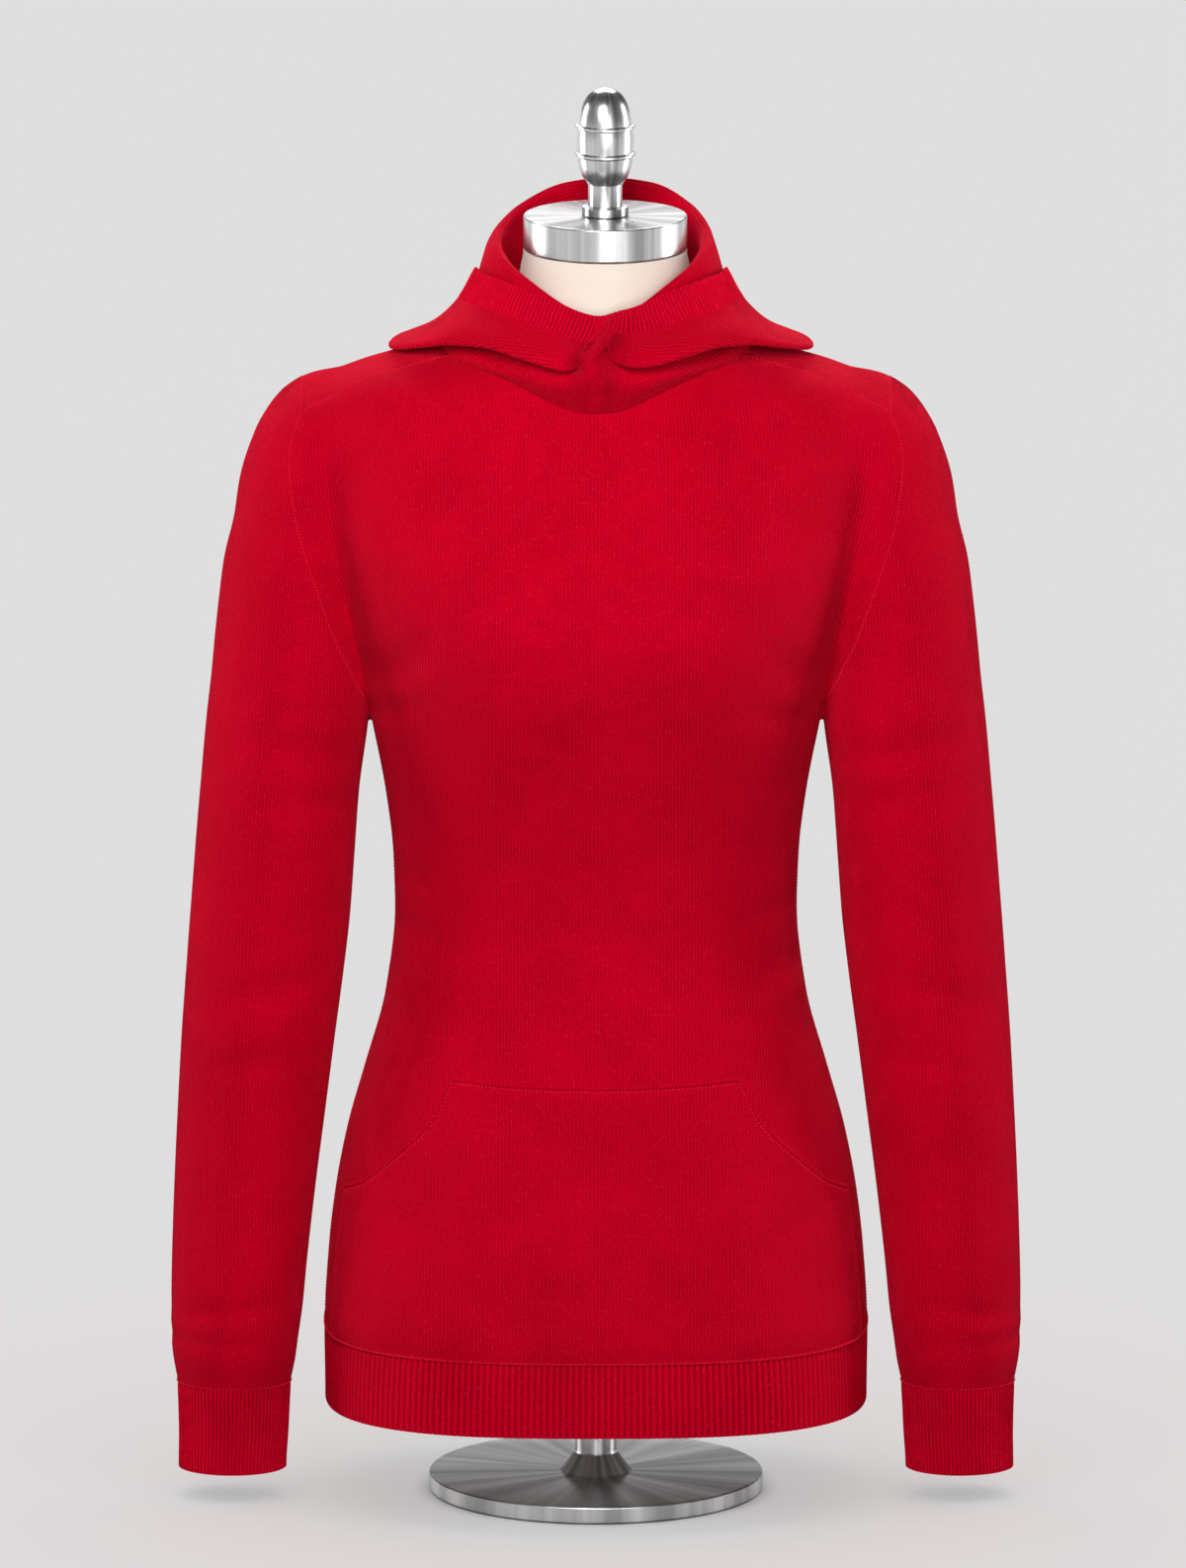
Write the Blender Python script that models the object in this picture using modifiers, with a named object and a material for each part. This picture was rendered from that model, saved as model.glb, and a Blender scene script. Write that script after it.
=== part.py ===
"""Cashmere hoodie on a limbless tabletop dress form, life size.

Metres, +Z up, the garment's front faces -Y, and its left sleeve is the one at -X in a front view.
The origin is the middle of the base plate's underside.

The cloth is a wall WALL thick.  Every panel is a grid of points on one smooth outer surface, which
two short tables describe by level sections: TORSO for the body and SLEEVE for each arm.  The hood
lies down; HOOD_STANDING and HOOD_LYING give its section at a few azimuths round the neck.
"""

import math
from collections import namedtuple

import bmesh
import bpy
import numpy as np

# ---------------------------------------------------------------- driving sizes, in metres
WALL = 0.0015  # thickness of the knitted cloth
SEAM_GAP = 0.0004  # clearance between two pieces that are sewn together
HEM_BOTTOM = 0.0588
HEM_TOP = 0.1035
CUFF_BOTTOM = 0.0170
CUFF_TOP = 0.0690
ARMPIT = 0.469
YOKE = 0.634  # above this height the panels turn in over the shoulders
SHOULDER_SEAM_Y = -0.030  # the shoulder seam lies in front of the ridge
ARMHOLE_TOP_X = 0.175
NECK_LEAN = 0.0055  # the neck stands a little to the right of the middle
NECK_LEAN_FROM = 0.690
NECK_LEAN_OVER = 0.05
HOOD_AXIS_X = 0.003
HOOD_AXIS_STEPS = 5  # the hood comes over to its own axis within this many steps from its seam
HOOD_TOP = 0.758  # above this height the standing fold leans over
HOOD_TOP_LEAN = 0.20
ARM_FOLD = 0.010  # softness of the fold between chest and sleeve
ARM_FOLD_DEPTH = 0.03  # the fold is tighter where the cloth is shallower than this
BAND_WIDTH = 0.020  # ribbed band along the edge of the hood
POCKET_WALL = 0.0015

# Level sections of the body: half width, depth in front and behind of the side seams, squareness.
Body = namedtuple("Body", "height half_width front back square")
TORSO = [
    Body(0.0500, 0.1620, 0.1290, 0.1170, 2.80),
    Body(0.0590, 0.1620, 0.1290, 0.1180, 2.80),
    Body(0.1035, 0.1625, 0.1260, 0.1200, 2.70),
    Body(0.1480, 0.1600, 0.1220, 0.1210, 2.55),
    Body(0.1840, 0.1558, 0.1180, 0.1190, 2.45),
    Body(0.2210, 0.1487, 0.1130, 0.1120, 2.35),
    Body(0.2570, 0.1387, 0.1070, 0.1020, 2.25),
    Body(0.3050, 0.1257, 0.0970, 0.0880, 2.20),
    Body(0.3560, 0.1201, 0.0905, 0.0785, 2.15),
    Body(0.3900, 0.1212, 0.0925, 0.0795, 2.15),
    Body(0.4260, 0.1254, 0.0985, 0.0840, 2.20),
    Body(0.4690, 0.1335, 0.1090, 0.0910, 2.25),
    Body(0.5140, 0.1425, 0.1200, 0.0960, 2.30),
    Body(0.5390, 0.1490, 0.1230, 0.0975, 2.30),
    Body(0.5740, 0.1590, 0.1180, 0.0980, 2.30),
    Body(0.6040, 0.1670, 0.1075, 0.0965, 2.30),
    Body(0.6340, 0.1730, 0.0955, 0.0920, 2.30),
    Body(0.6590, 0.1730, 0.0850, 0.0840, 2.20),
    Body(0.6740, 0.1660, 0.0780, 0.0785, 2.10),
    Body(0.6840, 0.1480, 0.0725, 0.0750, 2.05),
    Body(0.6910, 0.1240, 0.0675, 0.0720, 2.00),
    Body(0.6970, 0.1030, 0.0620, 0.0690, 2.00),
    Body(0.7040, 0.0840, 0.0570, 0.0660, 2.00),
    Body(0.7160, 0.0640, 0.0540, 0.0600, 2.00),
    Body(0.7390, 0.0570, 0.0520, 0.0550, 2.00),
]

# Level sections of a sleeve: its middle and its half sizes across and in depth.
Arm = namedtuple("Arm", "height middle half_width centre_y half_depth")
SLEEVE = [
    Arm(0.0170, 0.2177, 0.0322, -0.0180, 0.0285),
    Arm(0.0405, 0.2169, 0.0328, -0.0160, 0.0290),
    Arm(0.0690, 0.2166, 0.0341, -0.0140, 0.0300),
    Arm(0.0800, 0.2165, 0.0362, -0.0130, 0.0332),
    Arm(0.0920, 0.2163, 0.0377, -0.0120, 0.0360),
    Arm(0.1140, 0.2149, 0.0394, -0.0105, 0.0385),
    Arm(0.1380, 0.2136, 0.0404, -0.0085, 0.0400),
    Arm(0.1850, 0.2102, 0.0423, -0.0055, 0.0425),
    Arm(0.2330, 0.2060, 0.0443, -0.0025, 0.0445),
    Arm(0.2810, 0.2016, 0.0461, 0.0000, 0.0465),
    Arm(0.3170, 0.1979, 0.0472, 0.0015, 0.0480),
    Arm(0.3535, 0.1945, 0.0479, 0.0030, 0.0498),
    Arm(0.3900, 0.1918, 0.0478, 0.0030, 0.0505),
    Arm(0.4260, 0.1890, 0.0476, 0.0030, 0.0508),
    Arm(0.4690, 0.1843, 0.0485, 0.0025, 0.0515),
    Arm(0.4980, 0.1817, 0.0478, 0.0030, 0.0530),
    Arm(0.5225, 0.1800, 0.0472, 0.0035, 0.0545),
    Arm(0.5465, 0.1778, 0.0467, 0.0040, 0.0555),
    Arm(0.5705, 0.1747, 0.0465, 0.0045, 0.0565),
    Arm(0.5945, 0.1700, 0.0462, 0.0050, 0.0570),
    Arm(0.6190, 0.1655, 0.0460, 0.0055, 0.0565),
    Arm(0.6430, 0.1590, 0.0446, 0.0060, 0.0530),
    Arm(0.6550, 0.1552, 0.0422, 0.0060, 0.0490),
    Arm(0.6670, 0.1507, 0.0378, 0.0060, 0.0400),
    Arm(0.6740, 0.1468, 0.0332, 0.0055, 0.0290),
    Arm(0.6790, 0.1432, 0.0275, 0.0050, 0.0170),
    Arm(0.6840, 0.1360, 0.0210, 0.0050, 0.0010),
]

# How far out the armhole seam lies, in front and behind.
Armhole = namedtuple("Armhole", "height front back")
ARMHOLE = [
    Armhole(0.469, 0.1338, 0.1338),
    Armhole(0.504, 0.1455, 0.1480),
    Armhole(0.527, 0.1553, 0.1578),
    Armhole(0.549, 0.1630, 0.1645),
    Armhole(0.573, 0.1708, 0.1705),
    Armhole(0.594, 0.1770, 0.1750),
    Armhole(0.612, 0.1805, 0.1770),
    Armhole(0.634, 0.1825, 0.1785),
    Armhole(0.650, 0.1820, 0.1785),
    Armhole(0.664, 0.1790, 0.1770),
    Armhole(0.674, 0.1765, 0.1760),
    Armhole(0.694, 0.1750, 0.1750),
]

# Plan of the neckline about the middle of the neck: azimuth from the front, and radius.
Neckline = namedtuple("Neckline", "azimuth radius")
NECKLINE = [
    Neckline(0, 0.0790),
    Neckline(20, 0.0795),
    Neckline(40, 0.0820),
    Neckline(55, 0.0870),
    Neckline(69, 0.0925),
    Neckline(90, 0.0920),
    Neckline(110, 0.0870),
    Neckline(135, 0.0770),
    Neckline(160, 0.0690),
    Neckline(180, 0.0665),
]
SEAM_AZIMUTH = 69.0  # where the shoulder seam meets the neckline

# The hood's section at an azimuth from the front: radius and height of each bend.  From the neck
# seam out, roll bulges above the seam, tuck is the crease under the fold, fold is the top of the
# layer that stands round the neck, and drop is where that layer has come down again outside.
Standing = namedtuple("Standing", "azimuth roll_r roll_z tuck_r tuck_z fold_r fold_z drop_r drop_z")
HOOD_STANDING = [
    Standing(0, 0.0915, 0.6900, 0.0950, 0.6985, 0.0935, 0.7065, 0.0895, 0.7125),
    Standing(6, 0.0910, 0.6895, 0.0905, 0.6975, 0.0700, 0.7190, 0.0810, 0.7110),
    Standing(12, 0.0905, 0.6895, 0.0860, 0.6985, 0.0615, 0.7262, 0.0785, 0.7125),
    Standing(30, 0.0880, 0.6935, 0.0815, 0.7020, 0.0610, 0.7370, 0.0755, 0.7145),
    Standing(45, 0.0865, 0.6960, 0.0795, 0.7045, 0.0615, 0.7450, 0.0750, 0.7160),
    Standing(60, 0.0895, 0.7015, 0.0800, 0.7085, 0.0620, 0.7510, 0.0780, 0.7175),
    Standing(75, 0.0890, 0.7045, 0.0790, 0.7120, 0.0625, 0.7565, 0.0805, 0.7180),
    Standing(90, 0.0870, 0.7065, 0.0760, 0.7160, 0.0630, 0.7600, 0.0825, 0.7175),
    Standing(110, 0.0820, 0.7090, 0.0730, 0.7200, 0.0660, 0.7635, 0.0850, 0.7145),
    Standing(122, 0.0775, 0.7105, 0.0710, 0.7220, 0.0685, 0.7670, 0.0925, 0.7130),
    Standing(135, 0.0730, 0.7120, 0.0690, 0.7240, 0.0715, 0.7715, 0.0990, 0.7090),
    Standing(160, 0.0665, 0.7160, 0.0670, 0.7290, 0.0740, 0.7800, 0.0910, 0.7040),
    Standing(180, 0.0645, 0.7180, 0.0665, 0.7310, 0.0750, 0.7815, 0.0905, 0.7000),
]

# Farther out, tip is the outer fold; slope and rise lead from it up to the hood's edge.
Lying = namedtuple("Lying", "azimuth tip_r tip_z slope_r slope_z rise_r rise_z edge_r edge_z")
HOOD_LYING = [
    Lying(0, 0.0840, 0.7170, 0.0775, 0.7205, 0.0705, 0.7240, 0.0620, 0.7270),
    Lying(6, 0.0915, 0.7030, 0.0880, 0.7095, 0.0780, 0.7180, 0.0640, 0.7285),
    Lying(12, 0.0950, 0.7015, 0.0920, 0.7090, 0.0815, 0.7180, 0.0648, 0.7303),
    Lying(30, 0.0945, 0.7060, 0.0915, 0.7135, 0.0815, 0.7210, 0.0670, 0.7380),
    Lying(45, 0.0955, 0.7095, 0.0920, 0.7170, 0.0825, 0.7250, 0.0705, 0.7430),
    Lying(60, 0.1030, 0.7085, 0.0975, 0.7160, 0.0855, 0.7255, 0.0725, 0.7450),
    Lying(75, 0.1150, 0.7030, 0.1030, 0.7105, 0.0865, 0.7245, 0.0735, 0.7450),
    Lying(90, 0.1255, 0.6970, 0.1060, 0.7055, 0.0865, 0.7230, 0.0740, 0.7440),
    Lying(110, 0.1280, 0.6945, 0.1190, 0.6985, 0.0960, 0.7095, 0.0825, 0.7315),
    Lying(122, 0.1310, 0.6775, 0.1300, 0.6880, 0.1060, 0.7055, 0.0870, 0.7290),
    Lying(135, 0.1300, 0.6490, 0.1350, 0.6680, 0.1180, 0.7010, 0.0965, 0.7270),
    Lying(160, 0.1150, 0.6120, 0.1265, 0.6440, 0.1250, 0.6910, 0.1080, 0.7260),
    Lying(180, 0.1120, 0.6020, 0.1240, 0.6340, 0.1265, 0.6870, 0.1110, 0.7260),
]

SEAM_INSET = 0.0016  # the hood's seam lies this far inside and above the neckline
MIDDLE_STRIP = 1.0  # the section is the same this many degrees on each side of the middle
PINCH_END = 30  # azimuth where the hood's folds have opened out from the pinch in front
FOLD_INSIDE = np.array([-0.0030, -0.0080])  # how round the standing fold is, inside and outside
FOLD_OUTSIDE = np.array([0.0045, -0.0060])
TIP_UNDER = np.array([-0.0090, -0.0005])  # and the outer fold, on its underside

# The pocket's upper outline: distance from the middle and height.
PocketTop = namedtuple("PocketTop", "across height")
POCKET_TOP = [
    PocketTop(0.0000, 0.2683),
    PocketTop(0.0450, 0.2688),
    PocketTop(0.0835, 0.2701),
    PocketTop(0.0857, 0.2684),
    PocketTop(0.0902, 0.2564),
    PocketTop(0.0953, 0.2471),
    PocketTop(0.1030, 0.2370),
    PocketTop(0.1119, 0.2279),
    PocketTop(0.1210, 0.2188),
    PocketTop(0.1286, 0.2110),
    PocketTop(0.1375, 0.2025),
    PocketTop(0.1505, 0.1935),
    PocketTop(0.2000, 0.1900),
]
POCKET_SIDE = 8  # the column of the front where the pocket's sides lie

# Room between the cloth and the dress form: snug where the cloth hangs from it, loose elsewhere.
Ease = namedtuple("Ease", "height room")
EASE = [
    Ease(0.0740, 0.0006),
    Ease(0.1840, 0.0006),
    Ease(0.2570, 0.0016),
    Ease(0.3560, 0.0026),
    Ease(0.4440, 0.0014),
    Ease(0.5390, 0.0009),
    Ease(0.6140, 0.0020),
    Ease(0.6840, 0.0090),
]
FORM_BOTTOM = 0.070
FORM_SINK = 0.0040  # the form's shoulders lie this much under the cloth's
FORM_SINK_FROM = 0.60
FORM_SINK_OVER = 0.06
ARM_ROOM = 0.0040  # extra room beside the form's chest, where the sleeves join
ARM_ROOM_OVER = 0.03
FORM_SHOULDER = (0.653, 0.665, 0.674, 0.6805, 0.6855)  # the form's levels above the yoke
Neck = namedtuple("Neck", "height half_width front back")
FORM_NECK = [
    Neck(0.6925, 0.1030, 0.0600, 0.0670),
    Neck(0.6985, 0.0800, 0.0560, 0.0630),
    Neck(0.7050, 0.0650, 0.0535, 0.0590),
    Neck(0.7140, 0.0575, 0.0525, 0.0560),
    Neck(0.7290, 0.0530, 0.0510, 0.0525),
    Neck(0.7440, 0.0505, 0.0495, 0.0505),
    Neck(0.7555, 0.0487, 0.0487, 0.0487),
]

# Neck cap and finial, turned: radius and height, from the top down.
CAP_RADIUS = 0.0487
CAP_BOTTOM = 0.7561
CAP_TOP = 0.7761
CAP_EDGE = 0.0012
FINIAL_FOOT = CAP_TOP + SEAM_GAP
Turn = namedtuple("Turn", "radius height")
FINIAL = [
    Turn(0.0000, 0.8530),
    Turn(0.0040, 0.8525),
    Turn(0.0080, 0.8505),
    Turn(0.0115, 0.8470),
    Turn(0.0140, 0.8420),
    Turn(0.0155, 0.8360),
    Turn(0.0161, 0.8312),
    Turn(0.0178, 0.8308),
    Turn(0.0178, 0.8292),
    Turn(0.0164, 0.8286),
    Turn(0.0168, 0.8220),
    Turn(0.0166, 0.8146),
    Turn(0.0180, 0.8140),
    Turn(0.0180, 0.8124),
    Turn(0.0165, 0.8116),
    Turn(0.0158, 0.8060),
    Turn(0.0138, 0.8002),
    Turn(0.0112, 0.7962),
    Turn(0.0102, 0.7950),
    Turn(0.0102, 0.7820),
    Turn(0.0138, 0.7815),
    Turn(0.0138, FINIAL_FOOT),
    Turn(0.0000, FINIAL_FOOT),
]

# Stand: a short pole on a round plate.
PLATE_RADIUS = 0.100
PLATE_HEIGHT = 0.010
PLATE_EDGE = 0.0015
POLE_RADIUS = 0.0125
COLLAR_RADIUS = 0.0215
COLLAR_HEIGHT = 0.012

# Searches for the surface along a line: how far they look and how often they halve the line.
SHOULDER_REACH = 0.16
SLEEVE_REACH = 0.12
HALVINGS = 34

# How finely the cloth is faceted, and the turned pieces.
PANEL_COLUMNS = 10  # from the middle of a panel to its side
PANEL_ROWS_BELOW = (0.150, 0.200, 0.250, 0.300, 0.356, 0.415)
PANEL_ROWS_CHEST = (0.492, 0.518, 0.546, 0.576, 0.606, YOKE)
YOKE_SHARES = (0.36, 0.66, 0.89, 1.0)  # the rows that turn in over the shoulder
NECK_COLUMNS = 5  # of PANEL_COLUMNS, those that end at the neckline
SLEEVE_ROWS = (0.0800, 0.100, 0.150, 0.220, 0.300, 0.385)
SLEEVE_COLUMNS = 7  # on each half of a sleeve
SLEEVE_SPREAD = 1.35  # above 1, the columns are closer at the seams
HOOD_AZIMUTHS = (0.15, 1.0, 6, 13, 22, 33, 46, 60, 75, 90, 106, 121, 136, 151, 166, 179.85)
HOOD_STEPS = (2, 1, 2, 2, 2, 2, 3, 2)  # from bend to bend, between the seam and the tip
OUTER_STEPS = 5  # from the tip to the band
OUTER_FINENESS = 8  # points in each span that is measured off for the band
BAND_STEPS = 2
CAP_STEPS = 48
FINIAL_STEPS = 32
CUTTER_DEPTH = 0.2


# ---------------------------------------------------------------- tables read as smooth curves
def table_value(table, name, at):
    """A named column of a table at the value `at` of its first column, by a monotone cubic."""
    knots = np.array([row[0] for row in table], float)
    values = np.array([getattr(row, name) for row in table], float)
    at = min(max(at, knots[0]), knots[-1])
    steps = np.diff(knots)
    slopes = np.diff(values) / steps
    tangents = np.empty(len(knots))
    tangents[0] = tangents[-1] = 0.0
    for k in range(1, len(knots) - 1):
        before, after = slopes[k - 1], slopes[k]
        tangents[k] = 0.0 if before * after <= 0 else 2 * before * after / (before + after)
    i = min(int(np.searchsorted(knots, at, side="right")) - 1, len(steps) - 1)
    t = (at - knots[i]) / steps[i]
    return (
        (2 * t**3 - 3 * t**2 + 1) * values[i]
        + (t**3 - 2 * t**2 + t) * steps[i] * tangents[i]
        + (3 * t**2 - 2 * t**3) * values[i + 1]
        + (t**3 - t**2) * steps[i] * tangents[i + 1]
    )


def mix(a, b, share):
    return a + (b - a) * share


def ramp(at, start, over):
    """Rises from 0 at the start to 1 where `over` has been passed."""
    return min(1.0, max(0.0, (at - start) / over))


# ---------------------------------------------------------------- the garment's outer surface
def softer_maximum(a, b):
    """The larger of two depths, with a rounded fold where they meet."""
    reach = ARM_FOLD * min(1.0, max(a, b) / ARM_FOLD_DEPTH)
    if reach <= 0:
        return max(a, b)
    near = max(reach - abs(a - b), 0.0) / reach
    return max(a, b) + near * near * reach / 4


def cloth_depth(across, height, side):
    """How far the cloth stands from the plane of the side seams; side is -1 in front, 1 behind."""
    name = "front" if side < 0 else "back"
    half_width = table_value(TORSO, "half_width", height)
    square = table_value(TORSO, "square", height)
    share = min(1.0, abs(across) / half_width)
    torso = table_value(TORSO, name, height) * (1 - share**square) ** (1 / square)
    if height <= ARMPIT or height > SLEEVE[-1].height:
        return torso
    offset = (abs(across) - table_value(SLEEVE, "middle", height)) / table_value(
        SLEEVE, "half_width", height
    )
    if abs(offset) >= 1:
        return torso
    arm = table_value(SLEEVE, "half_depth", height) * math.sqrt(1 - offset * offset)
    arm += side * table_value(SLEEVE, "centre_y", height)
    return softer_maximum(torso, arm)


def is_inside(across, y, height):
    side = -1 if y < 0 else 1
    return cloth_depth(across, height, side) > abs(y)


def shoulder_point(across, side, angle):
    """Where a ray from the chest's middle plane, at this angle up from level, leaves the cloth."""
    near, far = 0.0, SHOULDER_REACH
    for _ in range(HALVINGS):
        reach = (near + far) / 2
        y = side * reach * math.cos(angle)
        if is_inside(across, y, YOKE + reach * math.sin(angle)):
            near = reach
        else:
            far = reach
    return (across, side * near * math.cos(angle), YOKE + near * math.sin(angle))


def height_over(across, y):
    """Height of the cloth over a point of the plan, near the neck and shoulders."""
    low, high = YOKE, TORSO[-1].height
    for _ in range(HALVINGS):
        middle = (low + high) / 2
        if is_inside(across, y, middle):
            low = middle
        else:
            high = middle
    return low


def neck_point(azimuth):
    radius = table_value(NECKLINE, "radius", abs(azimuth))
    turn = math.radians(azimuth)
    across, y = radius * math.sin(turn), -radius * math.cos(turn)
    return (across, y, height_over(abs(across), y))


def armhole_edge(side, shift):
    """The armhole seam from the underarm up to the shoulder seam, shifted along by half the gap."""
    edge = []
    for height in PANEL_ROWS_CHEST:
        across = armhole_x(height, side) + shift
        edge.append((across, side * cloth_depth(across, height, side), height))
    seam = SHOULDER_SEAM_Y + side * SEAM_GAP / 2
    top = (ARMHOLE_TOP_X + shift, seam, height_over(ARMHOLE_TOP_X + shift, seam))
    for share in YOKE_SHARES[:-1]:
        angle = share * math.atan2(top[2] - YOKE, side * seam)
        point = edge[-1]
        for _ in range(4):
            point = shoulder_point(armhole_x(point[2], side) + shift, side, angle)
        edge.append(point)
    return [*edge, top]


def armhole_x(height, side):
    return table_value(ARMHOLE, "front" if side < 0 else "back", height)


# ---------------------------------------------------------------- panels as grids of points
def level_row(height, side):
    """Half a level row of a body panel below the armpit, from its middle to its side seam."""
    name = "front" if side < 0 else "back"
    depth = table_value(TORSO, name, height)
    power = 2 / table_value(TORSO, "square", height)
    end = table_value(TORSO, "half_width", height)
    row = []
    for column in range(PANEL_COLUMNS + 1):
        turn = math.pi / 2 * column / PANEL_COLUMNS
        y = side * max(depth * abs(math.cos(turn)) ** power, SEAM_GAP / 2)
        row.append((end * math.sin(turn) ** power, y, height))
    return row


def chest_row(seam_point, side):
    """Half a level row above the armpit, from the panel's middle to the armhole seam."""
    end, _, height = seam_point
    power = 2 / table_value(TORSO, "square", height)
    row = []
    for column in range(PANEL_COLUMNS):
        across = end * math.sin(math.pi / 2 * column / PANEL_COLUMNS) ** power
        row.append((across, side * cloth_depth(across, height, side), height))
    return [*row, seam_point]


def top_edge(side, corner):
    """The upper boundary of a body panel: the neckline, then the shoulder seam to its corner."""
    seam = corner[1]
    start = 0.0 if side < 0 else 180.0
    points = [
        neck_point(mix(start, SEAM_AZIMUTH, column / NECK_COLUMNS)) for column in range(NECK_COLUMNS)
    ]
    neck_end = neck_point(SEAM_AZIMUTH)[0]
    rest = PANEL_COLUMNS - NECK_COLUMNS
    for column in range(rest):
        across = mix(neck_end, corner[0], math.sin(math.pi / 2 * column / rest))
        points.append((across, seam, height_over(across, seam)))
    return [*points, corner]


def yoke_rows(side, yoke_row, seam_points):
    """Rows from YOKE up to the neckline and shoulder seam, turning in over the shoulder."""
    edge = top_edge(side, seam_points[-1])
    rows = []
    for share, seam_point in zip(YOKE_SHARES[:-1], seam_points):
        row = []
        for start, end in list(zip(yoke_row, edge))[:-1]:
            angle = share * math.atan2(end[2] - YOKE, side * end[1])
            row.append(shoulder_point(mix(start[0], end[0], share), side, angle))
        rows.append([*row, seam_point])
    return [*rows, edge]


def whole_row(half):
    """A half row and its mirror image, as one row across the panel."""
    return [(-x, y, z) for x, y, z in reversed(half[1:])] + list(half)


def body_panel(side):
    heights = (HEM_TOP + SEAM_GAP, *PANEL_ROWS_BELOW, ARMPIT)
    rows = [level_row(height, side) for height in heights]
    seam_points = armhole_edge(side, -SEAM_GAP / 2)
    chest = len(PANEL_ROWS_CHEST)
    rows += [chest_row(point, side) for point in seam_points[:chest]]
    rows += yoke_rows(side, rows[-1], seam_points[chest:])
    return [whole_row(row) for row in rows]


def hem_panel(side):
    return [whole_row(level_row(height, side)) for height in (HEM_BOTTOM, HEM_TOP)]


def spread(column):
    """Share of the way from the underarm to the outside of a sleeve, at a column."""
    return (column / SLEEVE_COLUMNS) ** SLEEVE_SPREAD


def sleeve_ring(height, x_sign):
    """A closed row of a sleeve: from the underarm round the front, the outside and the back."""
    middle = table_value(SLEEVE, "middle", height)
    half_width = table_value(SLEEVE, "half_width", height)
    centre_y = table_value(SLEEVE, "centre_y", height)
    half_depth = table_value(SLEEVE, "half_depth", height)
    turns = [math.pi * spread(column) for column in range(SLEEVE_COLUMNS + 1)]
    turns += [2 * math.pi - turn for turn in reversed(turns[:-1])]
    row = []
    for turn in turns:
        across = middle - half_width * math.cos(turn)
        row.append((x_sign * across, centre_y - half_depth * math.sin(turn), height))
    return row


def turned_towards(a, b, share):
    """The direction a share of the way round from one unit direction to another."""
    angle = math.acos(max(-1.0, min(1.0, float(np.dot(a, b)))))
    if angle < 1e-6:
        return a
    return (math.sin((1 - share) * angle) * a + math.sin(share * angle) * b) / math.sin(angle)


def leaves_cloth(centre, direction):
    """Where a ray from inside a sleeve leaves the cloth."""
    near, far = 0.0, SLEEVE_REACH
    for _ in range(HALVINGS):
        reach = (near + far) / 2
        x, y, z = centre + reach * direction
        if is_inside(x, y, z):
            near = reach
        else:
            far = reach
    return tuple(centre + near * direction)


def sleeve_cap(x_sign):
    """The rows above the armpit: each runs from the armhole seam in front to the one behind."""
    front = armhole_edge(-1, SEAM_GAP / 2)
    back = armhole_edge(1, SEAM_GAP / 2)
    chest = len(PANEL_ROWS_CHEST)
    outward = np.array([1.0, 0.0, 0.0])
    top = (np.array(front[-1]) + np.array(back[-1])) / 2
    rows = []
    for k, (start, end) in enumerate(zip(front[:-1], back[:-1])):
        level = min(start[2], YOKE)
        middle = table_value(SLEEVE, "middle", level)
        centre = np.array([middle, table_value(SLEEVE, "centre_y", level), level])
        share = YOKE_SHARES[k - chest] if k >= chest else 0.0
        outside = turned_towards(outward, (top - centre) / np.linalg.norm(top - centre), share)
        row = []
        for seam_point in (start, end):
            seam_way = (np.array(seam_point) - centre) / np.linalg.norm(np.array(seam_point) - centre)
            half = [
                leaves_cloth(centre, turned_towards(seam_way, outside, spread(column)))
                for column in range(1, SLEEVE_COLUMNS + 1)
            ]
            half = [seam_point, *half]
            row += list(reversed(half))[1:] if row else half
        rows.append([(x_sign * x, y, z) for x, y, z in row])
    rows.append([(x_sign * top[0], top[1], top[2])] * (2 * SLEEVE_COLUMNS + 1))
    return rows


def hood_bend(table, name, azimuth):
    values = [table_value(table, f"{name}_{part}", azimuth) for part in ("r", "z")]
    return np.array(values)


def hood_section(azimuth):
    """Control points of the hood's section at an azimuth, as radius and height."""
    at = max(0.0, abs(azimuth) - MIDDLE_STRIP)
    seam = (table_value(NECKLINE, "radius", at) - SEAM_INSET, neck_point(azimuth)[2] + SEAM_INSET)
    roll, tuck, fold, drop = (
        hood_bend(HOOD_STANDING, name, at) for name in ("roll", "tuck", "fold", "drop")
    )
    tip, slope, rise, edge = (
        hood_bend(HOOD_LYING, name, at) for name in ("tip", "slope", "rise", "edge")
    )
    opened = min(1.0, at / PINCH_END)  # the folds open out from the pinch in front
    before_fold = mix(mix(fold, tuck, 1 / 3), fold + FOLD_INSIDE, opened)
    after_fold = mix(mix(fold, drop, 1 / 3), fold + FOLD_OUTSIDE, opened)
    before_tip = mix(mix(tip, drop, 1 / 3), tip + TIP_UNDER, opened)
    standing = [np.array(seam), roll, tuck, before_fold, fold, after_fold, drop]
    return [*standing, before_tip, tip, slope, rise, edge]


def through(points, steps):
    """Points on a smooth curve through the control points, with so many steps in each span."""
    points = [np.array(p, float) for p in points]
    padded = [2 * points[0] - points[1], *points, 2 * points[-1] - points[-2]]
    curve = []
    for i, count in enumerate(steps):
        a, b, c, d = padded[i : i + 4]
        for step in range(count):
            t = step / count
            bend = (2 * a - 5 * b + 4 * c - d) * t**2 + (3 * b - 3 * c + d - a) * t**3
            curve.append(0.5 * (2 * b + (c - a) * t + bend))
    return [*curve, points[len(steps)]]


def even_stretch(curve, start, end, steps):
    """Evenly spaced points between two distances along a curve."""
    curve = np.array(curve)
    along = np.concatenate([[0], np.cumsum(np.linalg.norm(np.diff(curve, axis=0), axis=1))])
    places = np.linspace(start, along[-1] + end if end <= 0 else end, steps + 1)
    return [np.array([np.interp(s, along, curve[:, k]) for k in range(2)]) for s in places]


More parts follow.
